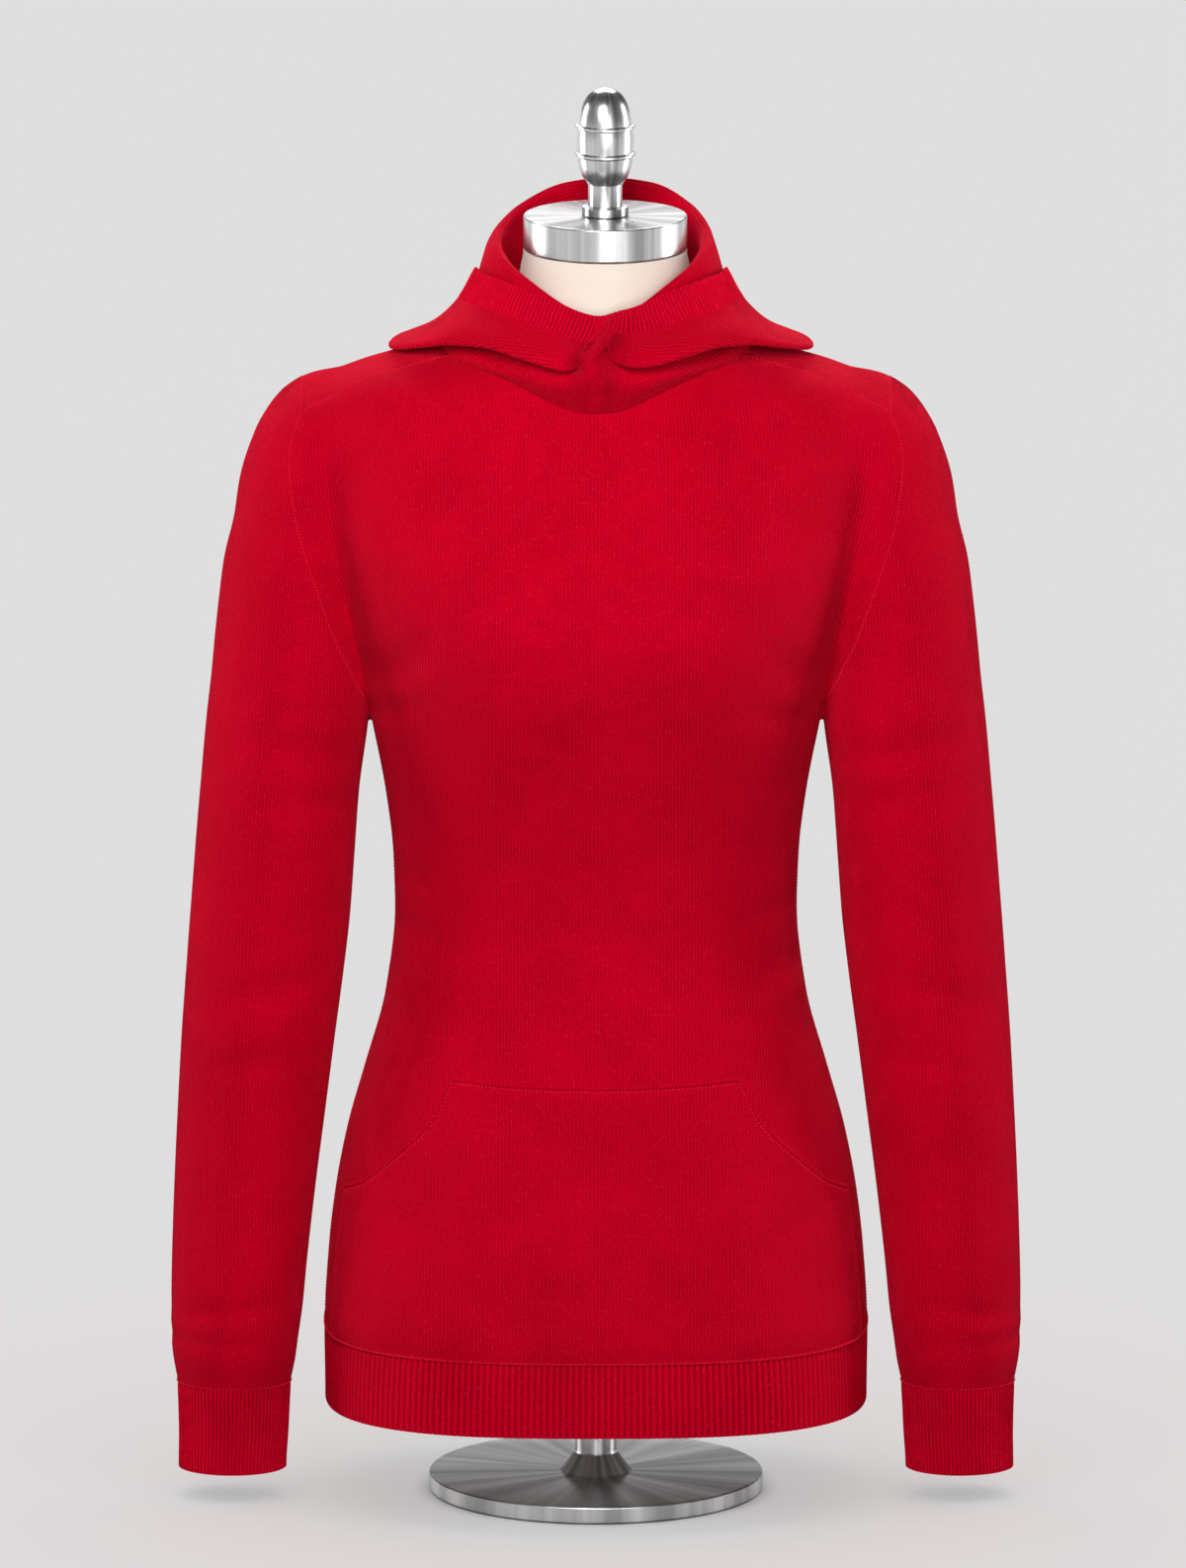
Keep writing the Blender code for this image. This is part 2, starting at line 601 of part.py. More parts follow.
def hood_profile(azimuth, part):
    """The hood's section as points: the body from seam to band, or the band to its edge."""
    bends = hood_section(azimuth)
    steps = len(HOOD_STEPS)
    fineness = [1] * steps + [OUTER_FINENESS] * (len(bends) - 1 - steps)
    outer = through(bends, fineness)[steps:]
    if part == "body":
        return through(bends, HOOD_STEPS)[:-1] + even_stretch(outer, 0.0, -BAND_WIDTH, OUTER_STEPS)
    length = sum(np.linalg.norm(b - a) for a, b in zip(outer, outer[1:]))
    return even_stretch(outer, length - BAND_WIDTH + SEAM_GAP, 0.0, BAND_STEPS)


def place_on_azimuth(profile, azimuth, start):
    """The section set round the neck; past its seam it leans with the neck."""
    turn = math.radians(azimuth)
    placed = []
    for k, (radius, height) in enumerate(profile):
        lean = HOOD_AXIS_X * min(1.0, start + k / HOOD_AXIS_STEPS)
        lean += HOOD_TOP_LEAN * max(0.0, height - HOOD_TOP)
        placed.append((lean + radius * math.sin(turn), -radius * math.cos(turn), height))
    return placed


def hood_rows(azimuths, part):
    start = 0.0 if part == "body" else 1.0
    return [place_on_azimuth(hood_profile(azimuth, part), azimuth, start) for azimuth in azimuths]


# ---------------------------------------------------------------- building the objects
def make_collection(name):
    collection = bpy.data.collections.new(name)
    bpy.context.scene.collection.children.link(collection)
    return collection


def make_material(name, colour, roughness, metallic=0.0):
    material = bpy.data.materials.new(name)
    material.use_nodes = True
    shader = material.node_tree.nodes["Principled BSDF"]
    shader.inputs["Base Color"].default_value = (*colour, 1.0)
    shader.inputs["Roughness"].default_value = roughness
    shader.inputs["Metallic"].default_value = metallic
    return material


def add_object(name, mesh, material, collection):
    mesh.materials.append(material)
    obj = bpy.data.objects.new(name, mesh)
    collection.objects.link(obj)
    mesh.shade_smooth()
    return obj


def cloth_sheet(
    name, rows, material, collection, wall=WALL, offset=-1.0, closed_rows=0, flip=False, even=True
):
    """A grid of points as an open surface with a Solidify wall.

    The first `closed_rows` rows are rings, and a row that has shrunk to a point closes a fan.
    """
    builder = bmesh.new()
    last = len(rows[0]) - 1
    grid = []
    for number, row in enumerate(rows):
        closed = number < closed_rows
        places = {}
        vertices = []
        for point in row[:-1] if closed else row:
            key = tuple(round(float(value), 7) for value in point)
            if key not in places:
                places[key] = builder.verts.new(point)
            vertices.append(places[key])
        grid.append(vertices + vertices[:1] if closed else vertices)
    for low, high in zip(grid, grid[1:]):
        for k in range(last):
            corners = [low[k], low[k + 1], high[k + 1], high[k]]
            corners = list(dict.fromkeys(corners))
            if len(corners) > 2:
                builder.faces.new(reversed(corners) if flip else corners)
    mesh = bpy.data.meshes.new(name)
    builder.to_mesh(mesh)
    builder.free()
    obj = add_object(name, mesh, material, collection)
    thicken = obj.modifiers.new("cloth wall", "SOLIDIFY")
    thicken.thickness = wall
    thicken.offset = offset
    thicken.use_even_offset = even
    thicken.use_quality_normals = True
    return obj


def closed_loft(name, rings, material, collection):
    """A solid through rings of points, with flat ends."""
    builder = bmesh.new()
    levels = [[builder.verts.new(p) for p in ring] for ring in rings]
    count = len(rings[0])
    for low, high in zip(levels, levels[1:]):
        for k in range(count):
            after = (k + 1) % count
            builder.faces.new((low[k], low[after], high[after], high[k]))
    builder.faces.new(list(reversed(levels[0])))
    builder.faces.new(levels[-1])
    mesh = bpy.data.meshes.new(name)
    builder.to_mesh(mesh)
    builder.free()
    return add_object(name, mesh, material, collection)


def turned_solid(name, profile, steps, x, material, collection):
    """A solid of revolution about a vertical axis, from a profile that runs from the top down."""
    mesh = bpy.data.meshes.new(name)
    points = [(point.radius, 0.0, point.height) for point in profile]
    mesh.from_pydata(points, [(k, k + 1) for k in range(len(points) - 1)], [])
    obj = add_object(name, mesh, material, collection)
    obj.location.x = x
    spin = obj.modifiers.new("turn", "SCREW")
    spin.axis = "Z"
    spin.angle = 2 * math.pi
    spin.steps = steps
    spin.render_steps = steps
    spin.use_merge_vertices = True
    spin.merge_threshold = 0.00001
    spin.use_smooth_shade = True
    return obj


def form_rings():
    """Level rings of the dress form, a little inside the cloth, ending in its neck."""
    levels = (FORM_BOTTOM, HEM_TOP, *PANEL_ROWS_BELOW, ARMPIT, *PANEL_ROWS_CHEST, *FORM_SHOULDER)
    rings = []
    for height in levels:
        source = height + FORM_SINK * ramp(height, FORM_SINK_FROM, FORM_SINK_OVER)
        inset = WALL + table_value(EASE, "room", height)
        half_width = table_value(TORSO, "half_width", source) - inset
        half_width -= ARM_ROOM * ramp(height, ARMPIT, ARM_ROOM_OVER)
        front = table_value(TORSO, "front", source) - inset
        back = table_value(TORSO, "back", source) - inset
        square = table_value(TORSO, "square", source)
        rings.append(form_ring(half_width, front, back, square, height, 0.0))
    for neck in FORM_NECK:
        lean = NECK_LEAN * ramp(neck.height, NECK_LEAN_FROM, NECK_LEAN_OVER)
        rings.append(form_ring(neck.half_width, neck.front, neck.back, 2.0, neck.height, lean))
    return rings


def form_ring(half_width, front, back, square, height, lean):
    ring = []
    columns = 2 * PANEL_COLUMNS
    for column in range(2 * columns):
        turn = math.pi * column / columns
        sine, cosine = math.sin(turn), math.cos(turn)
        across = half_width * abs(sine) ** (2 / square) * (1 if sine >= 0 else -1)
        depth = front if cosine > 0 else back
        y = depth * abs(cosine) ** (2 / square) * (-1 if cosine > 0 else 1)
        ring.append((lean + across, y, height))
    return ring


def moved_out(rows, distance):
    """A grid moved out along its own normals."""
    points = np.array(rows)
    normals = np.cross(np.gradient(points, axis=1), np.gradient(points, axis=0))
    normals /= np.linalg.norm(normals, axis=2, keepdims=True)
    return points + distance * normals


def pocket_rows(front_rows):
    """The front's own points under the pocket, moved out by the gap."""
    top = max(point.height for point in POCKET_TOP)
    levels = 1 + next(k for k, row in enumerate(front_rows) if row[0][2] > top)
    spare = PANEL_COLUMNS - POCKET_SIDE
    lower = moved_out(front_rows, SEAM_GAP)[:levels, spare:-spare]
    return [[tuple(point) for point in row] for row in lower]


def outline_prism(name, outline, depth, collection):
    """A flat outline in the XZ plane, extruded towards -Y; it only cuts, so it isn't rendered."""
    builder = bmesh.new()
    face = builder.faces.new([builder.verts.new((x, 0.0, z)) for x, z in outline])
    extruded = bmesh.ops.extrude_face_region(builder, geom=[face])["geom"]
    corners = [item for item in extruded if isinstance(item, bmesh.types.BMVert)]
    bmesh.ops.translate(builder, verts=corners, vec=(0.0, -depth, 0.0))
    bmesh.ops.recalc_face_normals(builder, faces=builder.faces)
    mesh = bpy.data.meshes.new(name)
    builder.to_mesh(mesh)
    builder.free()
    obj = bpy.data.objects.new(name, mesh)
    collection.objects.link(obj)
    obj.hide_render = True
    obj.display_type = "WIRE"
    return obj


def build_pocket(front_rows, material, collection, cutters):
    pocket = cloth_sheet(
        "pocket", pocket_rows(front_rows), material, collection, wall=POCKET_WALL, offset=1.0
    )
    top = [(point.across, point.height) for point in POCKET_TOP]
    outline = [(-x, z) for x, z in reversed(top[1:])] + top
    outline += [(top[-1][0], HEM_BOTTOM), (-top[-1][0], HEM_BOTTOM)]
    trim = pocket.modifiers.new("outline", "BOOLEAN")
    trim.operation = "INTERSECT"
    trim.solver = "EXACT"
    trim.object = outline_prism("pocket_outline", outline, CUTTER_DEPTH, cutters)


def build():
    for obj in list(bpy.data.objects):
        bpy.data.objects.remove(obj)
    collection = make_collection("cashmere_hoodie")
    cutters = make_collection("cutters")
    knit = make_material("red cashmere knit", (0.52, 0.005, 0.030), 0.9)
    rib = make_material("red cashmere rib", (0.47, 0.004, 0.026), 0.9)
    cover = make_material("cream jersey cover", (0.84, 0.76, 0.68), 0.85)
    metal = make_material("brushed aluminium", (0.80, 0.80, 0.81), 0.3, metallic=1.0)

    front_rows = body_panel(-1)
    cloth_sheet("front", front_rows, knit, collection)
    cloth_sheet("back", body_panel(1), knit, collection, flip=True)
    cloth_sheet("hem_rib_front", hem_panel(-1), rib, collection)
    cloth_sheet("hem_rib_back", hem_panel(1), rib, collection, flip=True)
    build_pocket(front_rows, knit, collection, cutters)

    for name, x_sign in (("left", -1), ("right", 1)):
        rings = [sleeve_ring(z, x_sign) for z in (CUFF_TOP + SEAM_GAP, *SLEEVE_ROWS, ARMPIT)]
        rows = rings + sleeve_cap(x_sign)
        cloth_sheet(f"sleeve_{name}", rows, knit, collection, closed_rows=len(rings), flip=x_sign < 0)
        rings = [sleeve_ring(z, x_sign) for z in (CUFF_BOTTOM, CUFF_TOP)]
        cloth_sheet(f"cuff_{name}", rings, rib, collection, closed_rows=2, flip=x_sign < 0)
        azimuths = [x_sign * azimuth for azimuth in HOOD_AZIMUTHS]
        rows = hood_rows(azimuths, "body")
        cloth_sheet(f"hood_{name}", rows, knit, collection, offset=0.0, flip=x_sign > 0, even=False)

    half = HOOD_AZIMUTHS[:-1]
    azimuths = [*half, 180, *[-azimuth for azimuth in reversed(half)]]
    cloth_sheet("hood_band", hood_rows(azimuths, "band"), rib, collection, offset=0.0, flip=True)

    closed_loft("form", form_rings(), cover, collection)
    turned_solid("neck_cap", cap_profile(), CAP_STEPS, NECK_LEAN, metal, collection)
    turned_solid("finial", FINIAL, FINIAL_STEPS, NECK_LEAN, metal, collection)
    turned_solid("stand", stand_profile(), CAP_STEPS, 0.0, metal, collection)


def cap_profile():
    return [
        Turn(0.0, CAP_TOP),
        Turn(CAP_RADIUS - CAP_EDGE, CAP_TOP),
        Turn(CAP_RADIUS, CAP_TOP - CAP_EDGE),
        Turn(CAP_RADIUS, CAP_BOTTOM),
        Turn(0.0, CAP_BOTTOM),
    ]


def stand_profile():
    top = FORM_BOTTOM - SEAM_GAP
    return [
        Turn(0.0, top),
        Turn(COLLAR_RADIUS, top),
        Turn(COLLAR_RADIUS, top - COLLAR_HEIGHT),
        Turn(POLE_RADIUS, top - COLLAR_HEIGHT),
        Turn(POLE_RADIUS, PLATE_HEIGHT + COLLAR_HEIGHT),
        Turn(COLLAR_RADIUS, PLATE_HEIGHT),
        Turn(PLATE_RADIUS - PLATE_EDGE, PLATE_HEIGHT),
        Turn(PLATE_RADIUS, PLATE_HEIGHT - PLATE_EDGE),
        Turn(PLATE_RADIUS, 0.0),
        Turn(0.0, 0.0),
    ]


build()
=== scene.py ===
"""Looks of a red cashmere hoodie on a cream dress form with brushed aluminium fittings.

Metres, +Z up, the garment's front faces -Y.  The file follows the object as it is put together:
stand, dress form, neck cap and finial, front and back, hem ribs, pocket, sleeves, cuffs, hood,
hood band, linking stitches.  The studio for the picture comes last.
"""

import math
from collections import namedtuple

import bmesh
import bpy
import numpy as np
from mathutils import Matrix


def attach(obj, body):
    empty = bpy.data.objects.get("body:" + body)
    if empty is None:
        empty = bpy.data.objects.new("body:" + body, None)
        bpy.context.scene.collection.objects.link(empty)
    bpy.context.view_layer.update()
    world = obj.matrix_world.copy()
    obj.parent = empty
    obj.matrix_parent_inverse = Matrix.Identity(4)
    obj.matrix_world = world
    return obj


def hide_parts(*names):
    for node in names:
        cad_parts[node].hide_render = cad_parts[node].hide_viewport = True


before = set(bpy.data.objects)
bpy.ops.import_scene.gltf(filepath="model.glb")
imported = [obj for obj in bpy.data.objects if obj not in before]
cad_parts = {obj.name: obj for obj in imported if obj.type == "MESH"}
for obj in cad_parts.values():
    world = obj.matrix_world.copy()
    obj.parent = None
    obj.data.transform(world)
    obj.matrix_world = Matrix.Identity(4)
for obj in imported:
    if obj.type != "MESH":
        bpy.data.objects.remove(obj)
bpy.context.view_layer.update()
scene = bpy.context.scene

# ---------------------------------------------------------------- stand
# The real stand is a turned aluminium plate with a short pole that screws into the form.
# It is lathe-turned and brushed in circles, with small broken edges.
PLATE_RADIUS = 0.100
PLATE_HEIGHT = 0.010
POLE_RADIUS = 0.0125
COLLAR_RADIUS = 0.0215
COLLAR_HEIGHT = 0.012
STAND_TOP = 0.0696
STAND_BEVEL = 0.0012
BRUSHED_GREY = "#E2E2E3"
# the darker grey of the painted reflection streaks
PAINTED_REFLECTION_GREY = "#A9A9AB"
SATIN = 0.34
BRUSH_PITCH_MM = 0.45  # real brushing is finer; drawn this coarse so that it shows
BRUSH_DEPTH = 0.00004
WEAR_MM = 16.667  # about the size of the patches where the brushing is duller
STREAKS = 5.0  # how closely the painted reflection streaks follow each other round the axis
TURN_STEPS = 128
BEVEL_ANGLE = 32


def linear(hex_colour):
    """An sRGB hex colour as linear red, green, blue and alpha."""
    parts = [int(hex_colour[k : k + 2], 16) / 255 for k in (1, 3, 5)]
    return (*[c / 12.92 if c <= 0.04045 else ((c + 0.055) / 1.055) ** 2.4 for c in parts], 1.0)


def set_inputs(tree, node, inputs):
    """Sets a node's inputs: each is either a value or the socket that feeds it."""
    for key, value in inputs.items():
        if isinstance(value, bpy.types.NodeSocket):
            tree.links.new(value, node.inputs[key])
        else:
            node.inputs[key].default_value = value


def add_node(tree, kind, inputs=None, out=None, **settings):
    """Adds a node with its settings and inputs; gives the output `out`, or else the node."""
    node = tree.nodes.new(kind)
    for name, value in settings.items():
        setattr(node, name, value)
    set_inputs(tree, node, inputs or {})
    return node if out is None else node.outputs[out]


def new_material(name):
    """A material, its node tree and its shader."""
    material = bpy.data.materials.new(name)
    material.use_nodes = True
    tree = material.node_tree
    return material, tree, tree.nodes["Principled BSDF"]


def brushed_aluminium(name, centre_x, roughness):
    """Turned aluminium, brushed round: fine rings of grain in its relief, and darker streaks that
    run to the axis, painted into its colour as painted reflection, so that a highlight seems to
    break into soft rays on top and upright bars on the side."""
    material, tree, shader = new_material(name)
    place = add_node(tree, "ShaderNodeTexCoord", out="Object")
    to_axis = {"Vector": place, "Location": (-centre_x, 0.0, 0.0)}
    centred = add_node(tree, "ShaderNodeMapping", to_axis, "Vector")
    parts = add_node(tree, "ShaderNodeSeparateXYZ", {"Vector": centred}).outputs
    plan = add_node(tree, "ShaderNodeCombineXYZ", {"X": parts["X"], "Y": parts["Y"]}, "Vector")
    radius = add_node(tree, "ShaderNodeVectorMath", {0: plan}, "Value", operation="LENGTH")
    rings = add_node(tree, "ShaderNodeCombineXYZ", {"X": radius, "Y": parts["Z"]}, "Vector")
    fine = {"Vector": rings, "Scale": 1000 / BRUSH_PITCH_MM, "Detail": 2.0, "Roughness": 0.6}
    grain = add_node(tree, "ShaderNodeTexNoise", fine, "Fac")
    patches = {"Vector": centred, "Scale": 1000 / WEAR_MM, "Detail": 3.0}
    wear = add_node(tree, "ShaderNodeTexNoise", patches, "Fac")
    rough = add_node(
        tree,
        "ShaderNodeMapRange",
        {"Value": wear, "To Min": roughness - 0.01, "To Max": roughness + 0.03},
        "Result",
    )
    relief = {"Height": grain, "Strength": 0.35, "Distance": BRUSH_DEPTH}
    way = add_node(tree, "ShaderNodeVectorMath", {0: plan}, "Vector", operation="NORMALIZE")
    # Painted reflection: darker streaks round the axis are mixed into the base colour.
    round_axis = {"Vector": way, "Scale": STREAKS, "Detail": 4.0}
    painted_streak = add_node(tree, "ShaderNodeTexNoise", round_axis, "Fac")
    sharper = {"Value": painted_streak, "From Min": 0.38, "From Max": 0.62}
    painted_streak = add_node(tree, "ShaderNodeMapRange", sharper, "Result")
    greys = {0: painted_streak, 6: linear(PAINTED_REFLECTION_GREY), 7: linear(BRUSHED_GREY)}
    finish = {
        "Base Color": add_node(tree, "ShaderNodeMix", greys, 2, data_type="RGBA"),
        "Metallic": 1.0,
        "Anisotropic": 0.35,
        "Roughness": rough,
        "Normal": add_node(tree, "ShaderNodeBump", relief, "Normal"),
    }
    set_inputs(tree, shader, finish)
    return material


def grid_piece(name, points, uv, flip=False, carried=None):
    """A sheet of quads through a grid of points, with its own map in metres of real cloth.

    Columns that meet are joined, and a row that has shrunk to a point is closed.  `carried` holds
    named values or vectors of the points, for the node groups.
    """
    rows, columns = points.shape[:2]
    number = np.arange(rows * columns).reshape(rows, columns)
    quads = np.stack(
        [number[:-1, :-1], number[:-1, 1:], number[1:, 1:], number[1:, :-1]], axis=-1
    ).reshape(-1, 4)
    if flip:
        quads = quads[:, ::-1]
    mesh = bpy.data.meshes.new(name)
    mesh.from_pydata(points.reshape(-1, 3).tolist(), [], quads.tolist())
    layer = mesh.uv_layers.new(name="cloth")
    layer.data.foreach_set("uv", uv.reshape(-1, 2)[quads.ravel()].ravel().astype(np.float32))
    for key, values in (carried or {}).items():
        kind, field = ("FLOAT_VECTOR", "vector") if values.ndim == 3 else ("FLOAT", "value")
        layer = mesh.attributes.new(key, kind, "POINT")
        layer.data.foreach_set(field, values.ravel().astype(np.float32))
    builder = bmesh.new()
    builder.from_mesh(mesh)
    bmesh.ops.remove_doubles(builder, verts=builder.verts, dist=1e-6)
    for edge in builder.edges:
        edge.smooth = not edge.is_boundary
    builder.to_mesh(mesh)
    builder.free()
    mesh.shade_smooth()
    obj = bpy.data.objects.new(name, mesh)
    scene.collection.objects.link(obj)
    return obj


def dress(obj, material, slot, *nodes):
    """Gives a piece its finish, hangs it on the root, and hides the solids that it stands for."""
    obj.data.materials.clear()
    obj.data.materials.append(material)
    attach(obj, "root")
    if nodes:
        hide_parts(*nodes)
    return obj


def turned(name, profile, centre_x, bevel):
    """A lathe-turned solid from (radius, height) pairs, from the top down, its edges broken."""
    builder = bmesh.new()
    angles = np.linspace(0, 2 * math.pi, TURN_STEPS, endpoint=False)
    rings = []
    for radius, height in profile[1:-1]:
        ring = [(centre_x + radius * math.cos(a), radius * math.sin(a), height) for a in angles]
        rings.append([builder.verts.new(place) for place in ring])
    for upper, lower in zip(rings, rings[1:]):
        for k in range(TURN_STEPS):
            after = (k + 1) % TURN_STEPS
            builder.faces.new((upper[k], lower[k], lower[after], upper[after]))
    builder.faces.new(rings[0])
    builder.faces.new(list(reversed(rings[-1])))
    bmesh.ops.recalc_face_normals(builder, faces=builder.faces)
    mesh = bpy.data.meshes.new(name)
    builder.to_mesh(mesh)
    builder.free()
    mesh.shade_smooth()
    obj = bpy.data.objects.new(name, mesh)
    scene.collection.objects.link(obj)
    edge = obj.modifiers.new("broken edges", "BEVEL")
    edge.width = bevel
    edge.segments = 3
    edge.limit_method = "ANGLE"
    edge.angle_limit = math.radians(BEVEL_ANGLE)
    edge.harden_normals = True
    return obj


satin = brushed_aluminium("turned aluminium, satin brushed", 0.0, SATIN)
stand = turned(
    "stand_turned",
    [
        (0.0, STAND_TOP),
        (COLLAR_RADIUS, STAND_TOP),
        (COLLAR_RADIUS, STAND_TOP - COLLAR_HEIGHT),
        (POLE_RADIUS, STAND_TOP - COLLAR_HEIGHT),
        (POLE_RADIUS, PLATE_HEIGHT + COLLAR_HEIGHT),
        (COLLAR_RADIUS, PLATE_HEIGHT),
        (PLATE_RADIUS, PLATE_HEIGHT),
        (PLATE_RADIUS, 0.0),
        (0.0, 0.0),
    ],
    0.0,
    STAND_BEVEL,
)
dress(stand, satin, "brushed_metal", "stand")

# ---------------------------------------------------------------- dress form
# A limbless form, moulded and covered in tight cream jersey, whose neck carries the metal cap.
# The figure's level sections below also shape the cloth that hangs on it.
Body = namedtuple("Body", "height half_width front back square")
TORSO = [
    Body(0.0500, 0.1620, 0.1290, 0.1170, 2.80),
    Body(0.0590, 0.1620, 0.1290, 0.1180, 2.80),
    Body(0.1035, 0.1625, 0.1260, 0.1200, 2.70),
    Body(0.1480, 0.1600, 0.1220, 0.1210, 2.55),
    Body(0.1840, 0.1558, 0.1180, 0.1190, 2.45),
    Body(0.2210, 0.1487, 0.1130, 0.1120, 2.35),
    Body(0.2570, 0.1387, 0.1070, 0.1020, 2.25),
    Body(0.3050, 0.1257, 0.0970, 0.0880, 2.20),
    Body(0.3560, 0.1201, 0.0905, 0.0785, 2.15),
    Body(0.3900, 0.1212, 0.0925, 0.0795, 2.15),
    Body(0.4260, 0.1254, 0.0985, 0.0840, 2.20),
    Body(0.4690, 0.1335, 0.1090, 0.0910, 2.25),
    Body(0.5140, 0.1425, 0.1200, 0.0960, 2.30),
    Body(0.5390, 0.1490, 0.1230, 0.0975, 2.30),
    Body(0.5740, 0.1590, 0.1180, 0.0980, 2.30),
    Body(0.6040, 0.1670, 0.1075, 0.0965, 2.30),
    Body(0.6340, 0.1730, 0.0955, 0.0920, 2.30),
    Body(0.6590, 0.1730, 0.0850, 0.0840, 2.20),
    Body(0.6740, 0.1660, 0.0780, 0.0785, 2.10),
    Body(0.6840, 0.1480, 0.0725, 0.0750, 2.05),
    Body(0.6910, 0.1240, 0.0675, 0.0720, 2.00),
    Body(0.6970, 0.1030, 0.0620, 0.0690, 2.00),
    Body(0.7040, 0.0840, 0.0570, 0.0660, 2.00),
    Body(0.7160, 0.0640, 0.0540, 0.0600, 2.00),
    Body(0.7390, 0.0570, 0.0520, 0.0550, 2.00),
]
Ease = namedtuple("Ease", "height room")
EASE = [
    Ease(0.0740, 0.0006),
    Ease(0.1840, 0.0006),
    Ease(0.2570, 0.0016),
    Ease(0.3560, 0.0026),
    Ease(0.4440, 0.0014),
    Ease(0.5390, 0.0009),
    Ease(0.6140, 0.0020),
    Ease(0.6840, 0.0090),
]
Neck = namedtuple("Neck", "height half_width front back lean")
FORM_NECK = [
    Neck(0.6925, 0.1030, 0.0600, 0.0670, 0.0003),
    Neck(0.6985, 0.0800, 0.0560, 0.0630, 0.0009),
    Neck(0.7050, 0.0650, 0.0535, 0.0590, 0.0017),
    Neck(0.7140, 0.0575, 0.0525, 0.0560, 0.0026),
    Neck(0.7290, 0.0530, 0.0510, 0.0525, 0.0043),
    Neck(0.7440, 0.0505, 0.0495, 0.0505, 0.0055),
    Neck(0.7555, 0.0487, 0.0487, 0.0487, 0.0055),
]
WALL = 0.0015  # the knitted cloth
ARMPIT = 0.469
FORM_BOTTOM = 0.070
FORM_SHOULDER = 0.6855
FORM_SINK = 0.0040
FORM_SINK_FROM = 0.60
FORM_SINK_OVER = 0.06
ARM_ROOM = 0.0040
ARM_ROOM_OVER = 0.03
FORM_COLUMNS = 121
FORM_ROWS = 110
FORM_NECK_ROWS = 26
CREAM_LIGHT = "#F0E4D8"
CREAM_DEEP = "#E4D5C6"
JERSEY_WALE_MM = 0.9
JERSEY_DEPTH = 0.0002
JERSEY_LINT_MM = 1.1111  # the bloom's tufts
JERSEY_CLOUD_MM = 45.45  # about the size of the paler and warmer patches


def read(table, name, at):
    """A named column of a table at the values `at` of its first column, by a monotone cubic."""
    knots = np.array([row[0] for row in table], float)
    values = np.array([getattr(row, name) for row in table], float)
    steps = np.diff(knots)
    slopes = np.diff(values) / steps
    before, after = slopes[:-1], slopes[1:]
    turns = before * after <= 0
    tangents = np.zeros(len(knots))
    tangents[1:-1] = np.where(turns, 0.0, 2 * before * after / np.where(turns, 1.0, before + after))
    at = np.clip(at, knots[0], knots[-1])
    i = np.clip(np.searchsorted(knots, at, side="right") - 1, 0, len(steps) - 1)
    t = (at - knots[i]) / steps[i]
    return (
        (2 * t**3 - 3 * t**2 + 1) * values[i]
        + (t**3 - 2 * t**2 + t) * steps[i] * tangents[i]
        + (3 * t**2 - 2 * t**3) * values[i + 1]
        + (t**3 - t**2) * steps[i] * tangents[i + 1]
    )


def mix(a, b, share):
    """The value a share of the way from a to b."""
    return a + (b - a) * share


def ramp(at, start, over):
    """Rises from 0 at `start` to 1 at the distance `over` past it."""
    return np.clip((at - start) / over, 0.0, 1.0)


def lengths(points, axis):
    """Distance along a grid of points, from its first row or column."""
    steps = np.linalg.norm(np.diff(points, axis=axis), axis=-1)
    start = np.zeros_like(np.take(steps, [0], axis=axis))
    return np.cumsum(np.concatenate([start, steps], axis=axis), axis=axis)


def form_grid():
    """Level rings of the form, from its flat underside up to its neck."""
    turn = np.linspace(0, 2 * math.pi, FORM_COLUMNS)[None, :]
    low = np.linspace(FORM_BOTTOM, FORM_SHOULDER, FORM_ROWS)[:, None]
    source = low + FORM_SINK * ramp(low, FORM_SINK_FROM, FORM_SINK_OVER)
    inset = WALL + read(EASE, "room", low)
    wide = read(TORSO, "half_width", source) - inset - ARM_ROOM * ramp(low, ARMPIT, ARM_ROOM_OVER)
    front = read(TORSO, "front", source) - inset
    back = read(TORSO, "back", source) - inset
    square = read(TORSO, "square", source)
    high = np.linspace(FORM_NECK[0].height, FORM_NECK[-1].height, FORM_NECK_ROWS)[:, None]
    neck = [read(FORM_NECK, name, high) for name in ("half_width", "front", "back", "lean")]
    torso = (low, wide, front, back, square, np.zeros_like(low))
    neck = (high, *neck[:3], np.full_like(high, 2.0), neck[3])
    height, wide, front, back, square, lean = (np.concatenate(p) for p in zip(torso, neck))
    sine, cosine = np.sin(turn), np.cos(turn)
    x = lean + wide * np.abs(sine) ** (2 / square) * np.sign(sine)
    y = np.where(cosine > 0, -front, back) * np.abs(cosine) ** (2 / square)
    return np.stack([x, y, np.broadcast_to(height, x.shape)], axis=-1)


